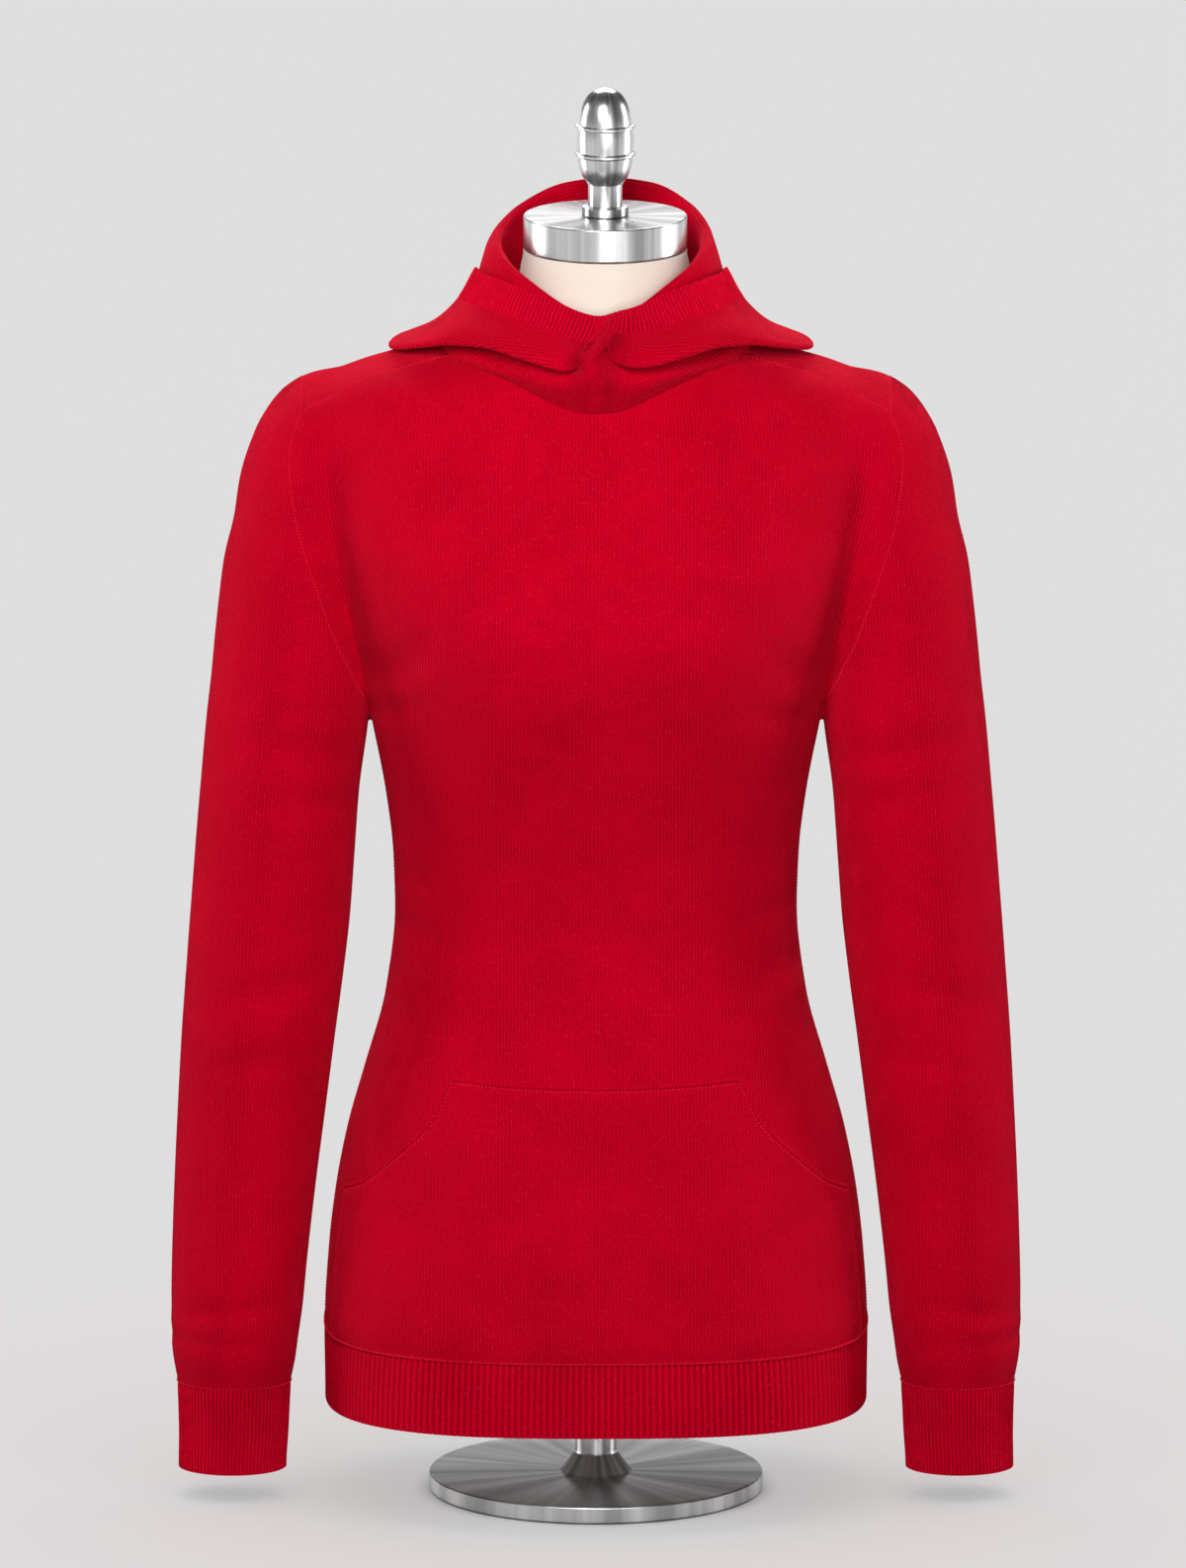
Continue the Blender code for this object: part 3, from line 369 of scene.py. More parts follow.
def form_jersey():
    """Fine cotton jersey pulled tight: matt, with a faint upright rib and a soft bloom."""
    material, tree, shader = new_material("cream cotton jersey, stretched")
    uv = add_node(tree, "ShaderNodeUVMap", out="UV", uv_map="cloth")
    place = add_node(tree, "ShaderNodeTexCoord", out="Object")
    across = add_node(tree, "ShaderNodeSeparateXYZ", {"Vector": uv}, "X")
    turns = {0: across, 1: 2 * math.pi * 1000 / JERSEY_WALE_MM}
    wale = add_node(tree, "ShaderNodeMath", turns, 0, operation="MULTIPLY")
    wale = add_node(tree, "ShaderNodeMath", {0: wale}, 0, operation="COSINE")
    fine = {"Vector": place, "Scale": 1000 / JERSEY_LINT_MM, "Detail": 3.0}
    lint = add_node(tree, "ShaderNodeTexNoise", fine, "Fac")
    knit = {0: wale, 1: 0.25, 2: lint}
    height = add_node(tree, "ShaderNodeMath", knit, 0, operation="MULTIPLY_ADD")
    relief = {"Height": height, "Strength": 0.5, "Distance": JERSEY_DEPTH}
    patches = {"Vector": place, "Scale": 1000 / JERSEY_CLOUD_MM, "Detail": 4.0}
    cloud = add_node(tree, "ShaderNodeTexNoise", patches, "Fac")
    creams = {0: cloud, 6: linear(CREAM_LIGHT), 7: linear(CREAM_DEEP)}
    finish = {
        "Base Color": add_node(tree, "ShaderNodeMix", creams, 2, data_type="RGBA"),
        "Normal": add_node(tree, "ShaderNodeBump", relief, "Normal"),
        "Roughness": 0.85,
        "Sheen Weight": 0.15,
        "Sheen Roughness": 0.5,
        "Specular IOR Level": 0.2,
    }
    set_inputs(tree, shader, finish)
    return material


form_points = form_grid()
form_uv = np.stack([lengths(form_points, 1), lengths(form_points, 0)], axis=-1)
form = grid_piece("form_body", form_points, form_uv)
builder = bmesh.new()
builder.from_mesh(form.data)
for loop in (FORM_BOTTOM, FORM_NECK[-1].height):
    rim = [e for e in builder.edges if e.is_boundary and abs(e.verts[0].co.z - loop) < 1e-5]
    bmesh.ops.contextual_create(builder, geom=rim)
bmesh.ops.recalc_face_normals(builder, faces=builder.faces)
builder.to_mesh(form.data)
builder.free()
dress(form, form_jersey(), "form_cover", "form")

# ---------------------------------------------------------------- neck cap and finial
# The cap is a turned aluminium disc pressed on the neck; the finial screws into it.
# The cap's side is brushed round, so the studio lights stretch into soft upright streaks, and
# darker upright streaks are painted into its colour as painted reflection.
NECK_LEAN = 0.0055
CAP_RADIUS = 0.0487
CAP_BOTTOM = 0.7561
CAP_TOP = 0.7761
CAP_BEVEL = 0.0010
FINIAL_BEVEL = 0.0002
FINE_BRUSHED = 0.27
Ring = namedtuple("Ring", "radius height")
FINIAL = [
    Ring(0.0000, 0.8530),
    Ring(0.0012, 0.8530),
    Ring(0.0040, 0.8525),
    Ring(0.0062, 0.8516),
    Ring(0.0080, 0.8505),
    Ring(0.0099, 0.8490),
    Ring(0.0115, 0.8470),
    Ring(0.0129, 0.8447),
    Ring(0.0140, 0.8420),
    Ring(0.0149, 0.8391),
    Ring(0.0155, 0.8360),
    Ring(0.0159, 0.8333),
    Ring(0.0161, 0.8312),
    Ring(0.0178, 0.8308),
    Ring(0.0178, 0.8292),
    Ring(0.0164, 0.8286),
    Ring(0.0168, 0.8253),
    Ring(0.0169, 0.8220),
    Ring(0.0168, 0.8184),
    Ring(0.0166, 0.8146),
    Ring(0.0180, 0.8140),
    Ring(0.0180, 0.8124),
    Ring(0.0165, 0.8116),
    Ring(0.0163, 0.8088),
    Ring(0.0158, 0.8060),
    Ring(0.0150, 0.8030),
    Ring(0.0138, 0.8002),
    Ring(0.0125, 0.7978),
    Ring(0.0112, 0.7962),
    Ring(0.0104, 0.7953),
    Ring(0.0102, 0.7940),
    Ring(0.0102, 0.7820),
    Ring(0.0138, 0.7815),
    Ring(0.0138, 0.7765),
    Ring(0.0000, 0.7765),
]
metal = brushed_aluminium("turned aluminium, fine brushed", NECK_LEAN, FINE_BRUSHED)
side = [(CAP_RADIUS, CAP_TOP), (CAP_RADIUS, CAP_BOTTOM)]
disc = [(0.0, CAP_TOP), *side, (0.0, CAP_BOTTOM)]
cap = turned("neck_cap_turned", disc, NECK_LEAN, CAP_BEVEL)
dress(cap, metal, "brushed_metal", "neck_cap")
finial = turned("finial_turned", FINIAL, NECK_LEAN, FINIAL_BEVEL)
dress(finial, metal, "brushed_metal", "finial")

# ---------------------------------------------------------------- front and back
# Two panels of fine cashmere jersey, knitted to shape.  Their stitches run up in wales, drawn
# 2.2 mm apart, coarser than the real ones, so that they show.  A light nap was raised when the
# finished garment was washed.
HEM_TOP = 0.1035
YOKE = 0.634
SHOULDER_SEAM_Y = -0.030
ARMHOLE_TOP_X = 0.175
ARM_FOLD = 0.010
ARM_FOLD_DEPTH = 0.03
Arm = namedtuple("Arm", "height middle half_width centre_y half_depth")
SLEEVE = [
    Arm(0.0170, 0.2177, 0.0322, -0.0180, 0.0285),
    Arm(0.0405, 0.2169, 0.0328, -0.0160, 0.0290),
    Arm(0.0690, 0.2166, 0.0341, -0.0140, 0.0300),
    Arm(0.0800, 0.2165, 0.0362, -0.0130, 0.0332),
    Arm(0.0920, 0.2163, 0.0377, -0.0120, 0.0360),
    Arm(0.1140, 0.2149, 0.0394, -0.0105, 0.0385),
    Arm(0.1380, 0.2136, 0.0404, -0.0085, 0.0400),
    Arm(0.1850, 0.2102, 0.0423, -0.0055, 0.0425),
    Arm(0.2330, 0.2060, 0.0443, -0.0025, 0.0445),
    Arm(0.2810, 0.2016, 0.0461, 0.0000, 0.0465),
    Arm(0.3170, 0.1979, 0.0472, 0.0015, 0.0480),
    Arm(0.3535, 0.1945, 0.0479, 0.0030, 0.0498),
    Arm(0.3900, 0.1918, 0.0478, 0.0030, 0.0505),
    Arm(0.4260, 0.1890, 0.0476, 0.0030, 0.0508),
    Arm(0.4690, 0.1843, 0.0485, 0.0025, 0.0515),
    Arm(0.4980, 0.1817, 0.0478, 0.0030, 0.0530),
    Arm(0.5225, 0.1800, 0.0472, 0.0035, 0.0545),
    Arm(0.5465, 0.1778, 0.0467, 0.0040, 0.0555),
    Arm(0.5705, 0.1747, 0.0465, 0.0045, 0.0565),
    Arm(0.5945, 0.1700, 0.0462, 0.0050, 0.0570),
    Arm(0.6190, 0.1655, 0.0460, 0.0055, 0.0565),
    Arm(0.6430, 0.1590, 0.0446, 0.0060, 0.0530),
    Arm(0.6550, 0.1552, 0.0422, 0.0060, 0.0490),
    Arm(0.6670, 0.1507, 0.0378, 0.0060, 0.0400),
    Arm(0.6740, 0.1468, 0.0332, 0.0055, 0.0290),
    Arm(0.6790, 0.1432, 0.0275, 0.0050, 0.0170),
    Arm(0.6840, 0.1360, 0.0210, 0.0050, 0.0010),
]
Armhole = namedtuple("Armhole", "height front back")
ARMHOLE = [
    Armhole(0.469, 0.1338, 0.1338),
    Armhole(0.504, 0.1455, 0.1480),
    Armhole(0.527, 0.1553, 0.1578),
    Armhole(0.549, 0.1630, 0.1645),
    Armhole(0.573, 0.1708, 0.1705),
    Armhole(0.594, 0.1770, 0.1750),
    Armhole(0.612, 0.1805, 0.1770),
    Armhole(0.634, 0.1825, 0.1785),
    Armhole(0.650, 0.1820, 0.1785),
    Armhole(0.664, 0.1790, 0.1770),
    Armhole(0.674, 0.1765, 0.1760),
    Armhole(0.694, 0.1750, 0.1750),
]
Neckline = namedtuple("Neckline", "azimuth radius")
NECKLINE = [
    Neckline(0, 0.0790),
    Neckline(20, 0.0795),
    Neckline(40, 0.0820),
    Neckline(55, 0.0870),
    Neckline(69, 0.0925),
    Neckline(90, 0.0920),
    Neckline(110, 0.0870),
    Neckline(135, 0.0770),
    Neckline(160, 0.0690),
    Neckline(180, 0.0665),
]
SEAM_AZIMUTH = 69.0
HALVINGS = 26
SEAM_ROUNDS = 6
SHOULDER_REACH = 0.16
SEAM_DIP = 0.0004  # a linked edge is drawn in this much
SECOND_DIP = 0.35  # share of that for the next row of the mesh
CREASE_MARGIN = 0.014  # creases die out over this distance from an edge
CREASE_DEEPEST = 0.35  # share of the way from its start to its end
CREASE_FADE = 0.42
CREASE_TROUGH = 1.6
CREASE_RIDGE = 0.6
CREASE_RIDGE_WIDTH = 1.9
PANEL_EASING = 6
CHEST_CROWDING = 1.4
ROW_STEP = 0.0036  # spacing of the mesh's rows
PANEL_COLUMNS = 54  # from the middle of a panel to its side
CHEST_ROWS = 50  # closer together at the armpit, where the panels leave the sleeve
YOKE_ROWS = 30
WALE_MM = 2.2
COURSE_MM = 1.7  # also drawn coarser than the real rows of loops
KNIT_DEPTH_MM = 0.26
KNIT_RED = "#D80028"
# the deep red of the dye's clouds, also the painted shade in the knit's low places
KNIT_SHADE = "#A60016"
SHEEN_RED = "#FF2444"  # the nap's bloom
GLOSS_RED = "#FF3048"  # dyed fibres gleam red, not white
FIBRE_PINK = "#E8405C"
WANDER_MM = 6.25  # about the size of the patches whose stitches wander together
WANDER = (0.0011, 0.0016, 0.0)
FADE_MM = 11.765  # about the size of the patches where the wales sink into the nap
TUFT_MM = 1.6129  # real tufts are finer; drawn this coarse so that they show
CLOUD_MM = 47.62  # about the size of the lighter and darker patches in the dye
FIBRE_SIZE_MM = (0.9091, 2.0833)  # pale fibre ends, across and along the wales

# Creases, listed one by one: where each starts and ends, across and up, its half width and its
# depth.
Crease = namedtuple("Crease", "x0 z0 x1 z1 half_width depth")
FRONT_CREASES = [
    Crease(-0.136, 0.500, -0.086, 0.548, 0.0110, 0.0022),
    Crease(-0.132, 0.482, -0.095, 0.500, 0.0080, 0.0014),
    Crease(0.137, 0.498, 0.092, 0.540, 0.0120, 0.0020),
    Crease(0.133, 0.480, 0.088, 0.492, 0.0085, 0.0015),
    Crease(-0.118, 0.352, -0.070, 0.338, 0.0090, 0.0012),
    Crease(0.119, 0.366, 0.078, 0.357, 0.0080, 0.0010),
    Crease(0.121, 0.330, 0.086, 0.316, 0.0100, 0.0011),
    Crease(-0.120, 0.386, -0.092, 0.380, 0.0070, 0.0008),
    Crease(-0.060, 0.655, -0.105, 0.600, 0.0120, 0.0010),
    Crease(0.064, 0.652, 0.108, 0.604, 0.0130, 0.0010),
]
BACK_CREASES = [
    Crease(-0.128, 0.486, -0.060, 0.520, 0.0120, 0.0020),
    Crease(0.131, 0.492, 0.070, 0.512, 0.0110, 0.0017),
    Crease(-0.112, 0.372, -0.020, 0.352, 0.0100, 0.0022),
    Crease(0.110, 0.384, 0.030, 0.371, 0.0090, 0.0016),
    Crease(-0.090, 0.338, 0.012, 0.330, 0.0110, 0.0018),
    Crease(0.104, 0.345, 0.040, 0.334, 0.0085, 0.0012),
    Crease(-0.020, 0.402, 0.066, 0.408, 0.0095, 0.0010),
    Crease(-0.085, 0.610, -0.040, 0.560, 0.0140, 0.0010),
    Crease(0.092, 0.604, 0.050, 0.556, 0.0150, 0.0011),
]


def cloth_depth(across, height, side):
    """How far the cloth stands from the side seams' plane; side is -1 in front and 1 behind."""
    across = np.abs(across)
    name = "front" if side < 0 else "back"
    square = read(TORSO, "square", height)
    share = np.minimum(1.0, across / read(TORSO, "half_width", height))
    torso = read(TORSO, name, height) * (1 - share**square) ** (1 / square)
    offset = (across - read(SLEEVE, "middle", height)) / read(SLEEVE, "half_width", height)
    arm = read(SLEEVE, "half_depth", height) * np.sqrt(np.maximum(0.0, 1 - offset**2))
    arm = arm + side * read(SLEEVE, "centre_y", height)
    beside = (height <= ARMPIT) | (height > SLEEVE[-1].height) | (np.abs(offset) >= 1)
    higher = np.maximum(torso, arm)
    reach = np.maximum(ARM_FOLD * np.minimum(1.0, higher / ARM_FOLD_DEPTH), 1e-9)
    near = np.maximum(reach - np.abs(torso - arm), 0.0) / reach
    return np.where(beside, torso, higher + near * near * reach / 4)


def is_inside(across, y, height):
    """Whether points lie under the garment's outer surface."""
    depth = np.where(y < 0, cloth_depth(across, height, -1), cloth_depth(across, height, 1))
    return depth > np.abs(y)


def leaves_cloth(start, direction, reach):
    """Where rays from inside the garment leave its outer surface."""
    near = np.zeros(direction.shape[:-1])
    far = np.full(direction.shape[:-1], reach)
    for _ in range(HALVINGS):
        middle = (near + far) / 2
        x, y, z = np.moveaxis(start + middle[..., None] * direction, -1, 0)
        inside = is_inside(x, y, z)
        near = np.where(inside, middle, near)
        far = np.where(inside, far, middle)
    return start + near[..., None] * direction


def over_shoulder(across, side, angle):
    """Where rays from the chest's middle plane, at these angles up from level, leave the cloth."""
    across, angle = np.broadcast_arrays(np.asarray(across, float), np.asarray(angle, float))
    start = np.stack([across, np.zeros_like(across), np.full_like(across, YOKE)], axis=-1)
    way = np.stack([np.zeros_like(across), side * np.cos(angle), np.sin(angle)], axis=-1)
    return leaves_cloth(start, way, SHOULDER_REACH)


def height_over(across, y):
    """Height of the cloth over points of the plan, near the neck and shoulders."""
    low = np.full(np.shape(across), YOKE)
    high = np.full(np.shape(across), TORSO[-1].height)
    for _ in range(HALVINGS):
        middle = (low + high) / 2
        inside = is_inside(across, y, middle)
        low = np.where(inside, middle, low)
        high = np.where(inside, high, middle)
    return low


def neck_point(azimuth):
    """The neck seam at each azimuth, from the middle of the front."""
    radius = read(NECKLINE, "radius", np.abs(azimuth))
    turn = np.radians(azimuth)
    x, y = radius * np.sin(turn), -radius * np.cos(turn)
    return np.stack([x, y, height_over(np.abs(x), y)], axis=-1)


def armhole_x(height, side):
    """How far across the armhole seam lies."""
    return read(ARMHOLE, "front" if side < 0 else "back", height)


def chest_heights():
    """Levels between the armpit and the yoke, closer together at the armpit."""
    share = np.arange(1, CHEST_ROWS + 1) / CHEST_ROWS
    return ARMPIT + (YOKE - ARMPIT) * share**CHEST_CROWDING


def armhole_edge(side, heights, shares):
    """The armhole seam from the underarm to the shoulder seam, as points.

    It is at the heights up to the yoke, then at the shares of the way over the shoulder, where it
    closes in on the end of the shoulder seam.
    """
    across = armhole_x(heights, side)
    chest = np.stack([across, side * cloth_depth(across, heights, side), heights], axis=-1)
    top_z = height_over(np.array([ARMHOLE_TOP_X]), np.array([SHOULDER_SEAM_Y]))[0]
    angle = shares * math.atan2(top_z - YOKE, side * SHOULDER_SEAM_Y)
    place = over_shoulder(armhole_x(np.full_like(shares, YOKE), side), side, angle)
    for _ in range(SEAM_ROUNDS):
        x = mix(armhole_x(place[:, 2], side), ARMHOLE_TOP_X, shares**2)
        place = over_shoulder(x, side, angle)
    place[-1] = (ARMHOLE_TOP_X, SHOULDER_SEAM_Y, top_z)
    return np.concatenate([chest, place])


def on_body(turn, height, side):
    """Points of the body's level sections, by their turn from the middle of the panel."""
    power = 2 / read(TORSO, "square", height)
    x = read(TORSO, "half_width", height) * np.abs(np.sin(turn)) ** power * np.sign(turn)
    name = "front" if side < 0 else "back"
    y = side * read(TORSO, name, height) * np.abs(np.cos(turn)) ** power
    return np.stack(np.broadcast_arrays(x, y, height), axis=-1)


def half_panel(side):
    """Points of a panel from its middle to its side, rows from the hem up."""
    share = np.linspace(0.0, 1.0, PANEL_COLUMNS + 1)[None, :]
    turn = share * math.pi / 2
    low = np.linspace(HEM_TOP, ARMPIT, round((ARMPIT - HEM_TOP) / ROW_STEP))[:, None]
    below = on_body(turn, low, side)
    chest = chest_heights()
    shares = np.linspace(0.0, 1.0, YOKE_ROWS + 1)[1:]
    seam = armhole_edge(side, chest, shares)
    level = chest[:, None]
    x = seam[: len(chest), None, 0] * np.sin(turn) ** (2 / read(TORSO, "square", level))
    level = np.broadcast_to(level, x.shape)
    middle = np.stack([x, side * cloth_depth(x, level, side), level], axis=-1)
    start = 0.0 if side < 0 else 180.0
    neck = neck_point(mix(start, SEAM_AZIMUTH, np.minimum(share[0] * 2, 1.0)))
    seam_x = mix(neck[-1, 0], seam[-1, 0], np.sin(math.pi / 2 * np.maximum(share[0] * 2 - 1, 0.0)))
    flat = np.full_like(seam_x, SHOULDER_SEAM_Y)
    shoulder = np.stack([seam_x, flat, height_over(seam_x, flat)], axis=-1)
    edge = np.where((share[0] <= 0.5)[:, None], neck, shoulder)
    angle = np.arctan2(edge[:, 2] - YOKE, side * edge[:, 1])
    x = mix(middle[-1, :, 0], edge[:, 0], shares[:, None])
    x = x * (seam[len(chest) :, 0] / x[:, -1])[:, None]
    yoke = over_shoulder(x, side, shares[:, None] * angle)
    yoke[:, -1] = seam[len(chest) :]
    yoke[-1] = edge
    return np.concatenate([below, middle, yoke])


def eased(points, rounds):
    """Evens out a grid's ripples; its boundary and its first rows and columns hold."""
    points = points.copy()
    for _ in range(rounds):
        inner = points[1:-1, 1:-1]
        near = points[:-2, 1:-1] + points[2:, 1:-1] + points[1:-1, :-2] + points[1:-1, 2:]
        points[1:-1, 1:-1] = inner / 2 + near / 8
    return points


def normals(points):
    """Unit normals of a grid, across rows by along columns."""
    out = np.cross(np.gradient(points, axis=1), np.gradient(points, axis=0))
    size = np.linalg.norm(out, axis=-1, keepdims=True)
    return out / np.maximum(size, 1e-12)


def off_edges(points, over):
    """Rises from 0 on a grid's edges to 1 at a distance inside them, so that seams still meet."""
    across, up = lengths(points, 1), lengths(points, 0)
    near = np.minimum(across, across[:, -1:] - across)
    near = np.minimum(near, np.minimum(up, up[-1:] - up))
    share = np.clip(near / over, 0.0, 1.0)
    return share * share * (3 - 2 * share)


def creased(points, outward, creases, x, z):
    """Sinks a grid into its listed creases, which die out at their ends and at the edges.

    A trough has a low ridge on each side; x and z say where each point lies, across and up.
    """
    sink = np.zeros_like(x)
    for c in creases:
        dx, dz = c.x1 - c.x0, c.z1 - c.z0
        along = ((x - c.x0) * dx + (z - c.z0) * dz) / (dx * dx + dz * dz)
        away = np.hypot(x - c.x0 - along * dx, z - c.z0 - along * dz) / c.half_width
        fade = np.exp(-(((along - CREASE_DEEPEST) / CREASE_FADE) ** 2))
        trough = CREASE_TROUGH * np.exp(-(away**2))
        ridge = CREASE_RIDGE * np.exp(-((away / CREASE_RIDGE_WIDTH) ** 2))
        sink += c.depth * fade * (trough - ridge)
    return points - outward * (sink * off_edges(points, CREASE_MARGIN))[..., None]


def dipped(points, outward, sides):
    """Draws the linked edges in, so that a seam shows as a fine groove."""
    dip = np.zeros(points.shape[:2])
    for side in sides:
        lines = dip if side in ("bottom", "top") else dip.T
        edge, second = (0, 1) if side in ("bottom", "left") else (-1, -2)
        lines[edge] = 1.0
        lines[second] = np.maximum(lines[second], SECOND_DIP)
    return points - outward * (SEAM_DIP * dip)[..., None]


def wales_uv(points, middle):
    """Distance across from the middle wale, and distance up, in metres of cloth."""
    across = lengths(points, 1)
    return np.stack([across - across[:, middle, None], lengths(points, 0)], axis=-1)


def cashmere(name, wale_mm, course_mm, depth_mm, shade, painted_groove_shade, faded):
    """Red cashmere knit: matt, with soft wales, a raised nap that catches light at the edges,
    and stray pale fibre ends.  Depth follows the stitches and the nap's tufts; the colour is clouds
    in the dye, lighter where stitches and tufts stand high and darker where they lie low, as
    painted light and shade."""
    material, tree, shader = new_material(name)
    uv = add_node(tree, "ShaderNodeUVMap", out="UV", uv_map="cloth")
    place = add_node(tree, "ShaderNodeTexCoord", out="Object")

    # The stitches wander a little, sideways and along.
    patches = {"Vector": place, "Scale": 1000 / WANDER_MM, "Detail": 2.0}
    stray = add_node(tree, "ShaderNodeTexNoise", patches, "Color")
    middle = {0: stray, 1: (0.5, 0.5, 0.5)}
    stray = add_node(tree, "ShaderNodeVectorMath", middle, "Vector", operation="SUBTRACT")
    moved = {0: stray, 1: WANDER, 2: uv}
    uneven = add_node(tree, "ShaderNodeVectorMath", moved, "Vector", operation="MULTIPLY_ADD")
    across, along, _ = add_node(tree, "ShaderNodeSeparateXYZ", {"Vector": uneven}).outputs

    # Wales: one wave across the cloth for each, which fades where the nap hides it.
    turns = {0: across, 1: 2 * math.pi * 1000 / wale_mm}
    wale = add_node(tree, "ShaderNodeMath", turns, 0, operation="MULTIPLY")
    leg = add_node(tree, "ShaderNodeMath", {0: wale}, 0, operation="COSINE")
    patches = {"Vector": place, "Scale": 1000 / FADE_MM, "Detail": 3.0}
    clear = add_node(tree, "ShaderNodeTexNoise", patches, "Fac")
    clearer = {"Value": clear, "From Min": 0.35, "From Max": 0.65, "To Min": 1 - faded}
    clear = add_node(tree, "ShaderNodeMapRange", clearer, "Result")
    soft_leg = add_node(tree, "ShaderNodeMath", {0: leg, 1: clear}, 0, operation="MULTIPLY")

    # Courses: each row of loops arches over the wales.
    turns = {0: along, 1: 2 * math.pi * 1000 / course_mm, 2: leg}
    course = add_node(tree, "ShaderNodeMath", turns, 0, operation="MULTIPLY_ADD")
    loop = add_node(tree, "ShaderNodeMath", {0: course}, 0, operation="SINE")
    both = {0: loop, 1: 0.12, 2: soft_leg}
    stitch = add_node(tree, "ShaderNodeMath", both, 0, operation="MULTIPLY_ADD")

    # The nap's tufts over the stitches give the relief.  The tone is clouds in the dye, with
    # painted shade where the tufts and stitches lie low.
    tufts = {"Vector": place, "Scale": 1000 / TUFT_MM, "Detail": 4.0, "Roughness": 0.7}
    nap = add_node(tree, "ShaderNodeTexNoise", tufts, "Fac")
    both = {0: nap, 1: 2.3, 2: stitch}
    height = add_node(tree, "ShaderNodeMath", both, 0, operation="MULTIPLY_ADD")
    relief = {"Height": height, "Strength": 1.0, "Distance": depth_mm / 1000}
    clouds = {"Vector": place, "Scale": 1000 / CLOUD_MM, "Detail": 3.0}
    cloud = add_node(tree, "ShaderNodeTexNoise", clouds, "Fac")
    both = {0: cloud, 1: 0.9, 2: nap}
    dye_and_shade = add_node(tree, "ShaderNodeMath", both, 0, operation="MULTIPLY_ADD")
    # Painted light and shade: the colour is lighter where the stitches stand high and darker where
    # they lie low.
    both = {0: stitch, 1: painted_groove_shade, 2: dye_and_shade}
    dye_and_shade = add_node(tree, "ShaderNodeMath", both, 0, operation="MULTIPLY_ADD")
    spread = {"Value": dye_and_shade, "From Min": 0.25, "From Max": 1.65}
    dye_and_shade = add_node(tree, "ShaderNodeMapRange", spread, "Result")
    reds = {0: dye_and_shade, 6: linear(shade), 7: linear(KNIT_RED)}
    red = add_node(tree, "ShaderNodeMix", reds, 2, data_type="RGBA")

    # Fibre ends that the dye took less.
    per_metre = (1000 / FIBRE_SIZE_MM[0], 1000 / FIBRE_SIZE_MM[1], 1.0)
    ends = add_node(tree, "ShaderNodeMapping", {"Vector": uv, "Scale": per_metre}, "Vector")
    fibre = {"Vector": ends, "Scale": 1.0, "Detail": 1.0}
    fibre = add_node(tree, "ShaderNodeTexNoise", fibre, "Fac")
    rare = {"Value": fibre, "From Min": 0.60, "From Max": 0.84, "To Max": 0.30}
    fibre = add_node(tree, "ShaderNodeMapRange", rare, "Result")
    reds = {0: fibre, 6: red, 7: linear(FIBRE_PINK)}
    finish = {
        "Base Color": add_node(tree, "ShaderNodeMix", reds, 2, data_type="RGBA"),
        "Normal": add_node(tree, "ShaderNodeBump", relief, "Normal"),
        "Roughness": 0.95,
        "Specular IOR Level": 0.10,
        "Specular Tint": linear(GLOSS_RED),
        "Sheen Weight": 0.55,
        "Sheen Roughness": 0.32,
        "Sheen Tint": linear(SHEEN_RED),
    }
    set_inputs(tree, shader, finish)
    return material


def walled(obj, offset=-1.0, even=True):
    """Gives a sheet the thickness of the cloth."""
    wall = obj.modifiers.new("cloth wall", "SOLIDIFY")
    wall.thickness = WALL
    wall.offset = offset
    wall.use_even_offset = even
    wall.use_quality_normals = True
    return obj


# 0.36 is how strong the painted shade in the stitches' low places is; 0.6 how much the wales may
# fade.
knit = cashmere(
    "red cashmere jersey, light nap", WALE_MM, COURSE_MM, KNIT_DEPTH_MM, KNIT_SHADE, 0.36, 0.6
)
panels = {}
for name, side, creases in (("front", -1, FRONT_CREASES), ("back", 1, BACK_CREASES)):
    half = half_panel(side)
    whole = np.concatenate([half[:, :0:-1] * (-1, 1, 1), half], axis=1)
    whole = eased(whole, PANEL_EASING)
    outward = normals(whole) * -side
    points = creased(whole, outward, creases, whole[..., 0], whole[..., 2])
    points = dipped(points, outward, ("bottom", "top", "left", "right"))
    panels[name] = points, outward
    panel = grid_piece(f"{name}_panel", points, wales_uv(points, PANEL_COLUMNS), flip=side > 0)
    dress(walled(panel), knit, "cashmere_knit", name)

# ---------------------------------------------------------------- hem ribs
# Two bands of 1x1 rib, linked to the panels.  The ribs are real here: round plain wales with
# furrows between them, about 3.8 mm apart, drawn in a little at the join.  One set of geometry
# nodes raises them on each band's flat form.
HEM_BOTTOM = 0.0588
HEM_RIB_PITCH = 0.0038
HEM_RIB_DEPTH = 0.00075
RIB_POWER = 1.4  # above 1 it rounds the furrows, and under 2 they stay narrower than the wales
RIB_SINKS = 0.75  # share of the depth that lies under the flat form
RIB_SAMPLES = 8
RIB_ROW_STEP = 0.0028
# the rib's deep red, also its painted shade in low places
RIB_SHADE = "#980014"
RIB_KNIT_DEPTH_MM = 0.14  # of the stitches' own relief, over the ribs
JOIN_DRAW = 0.0004  # the rib is drawn in this much where it is linked
JOIN_REACH = 0.0030
SECTION_SAMPLES = 1601
HEM_SAMPLES = 400


def evenly(line, count):
    """Points at even distances along a line."""
    along = lengths(line[None], 1)[0]
    even = np.linspace(0, along[-1], count)
    return np.stack([np.interp(even, along, line[:, k]) for k in range(3)], axis=-1)


def level_line(height, side, count):
    """Points at even distances along a level section, from side seam to side seam."""
    turn = np.linspace(-math.pi / 2, math.pi / 2, SECTION_SAMPLES)
    return evenly(on_body(turn, height, side), count)


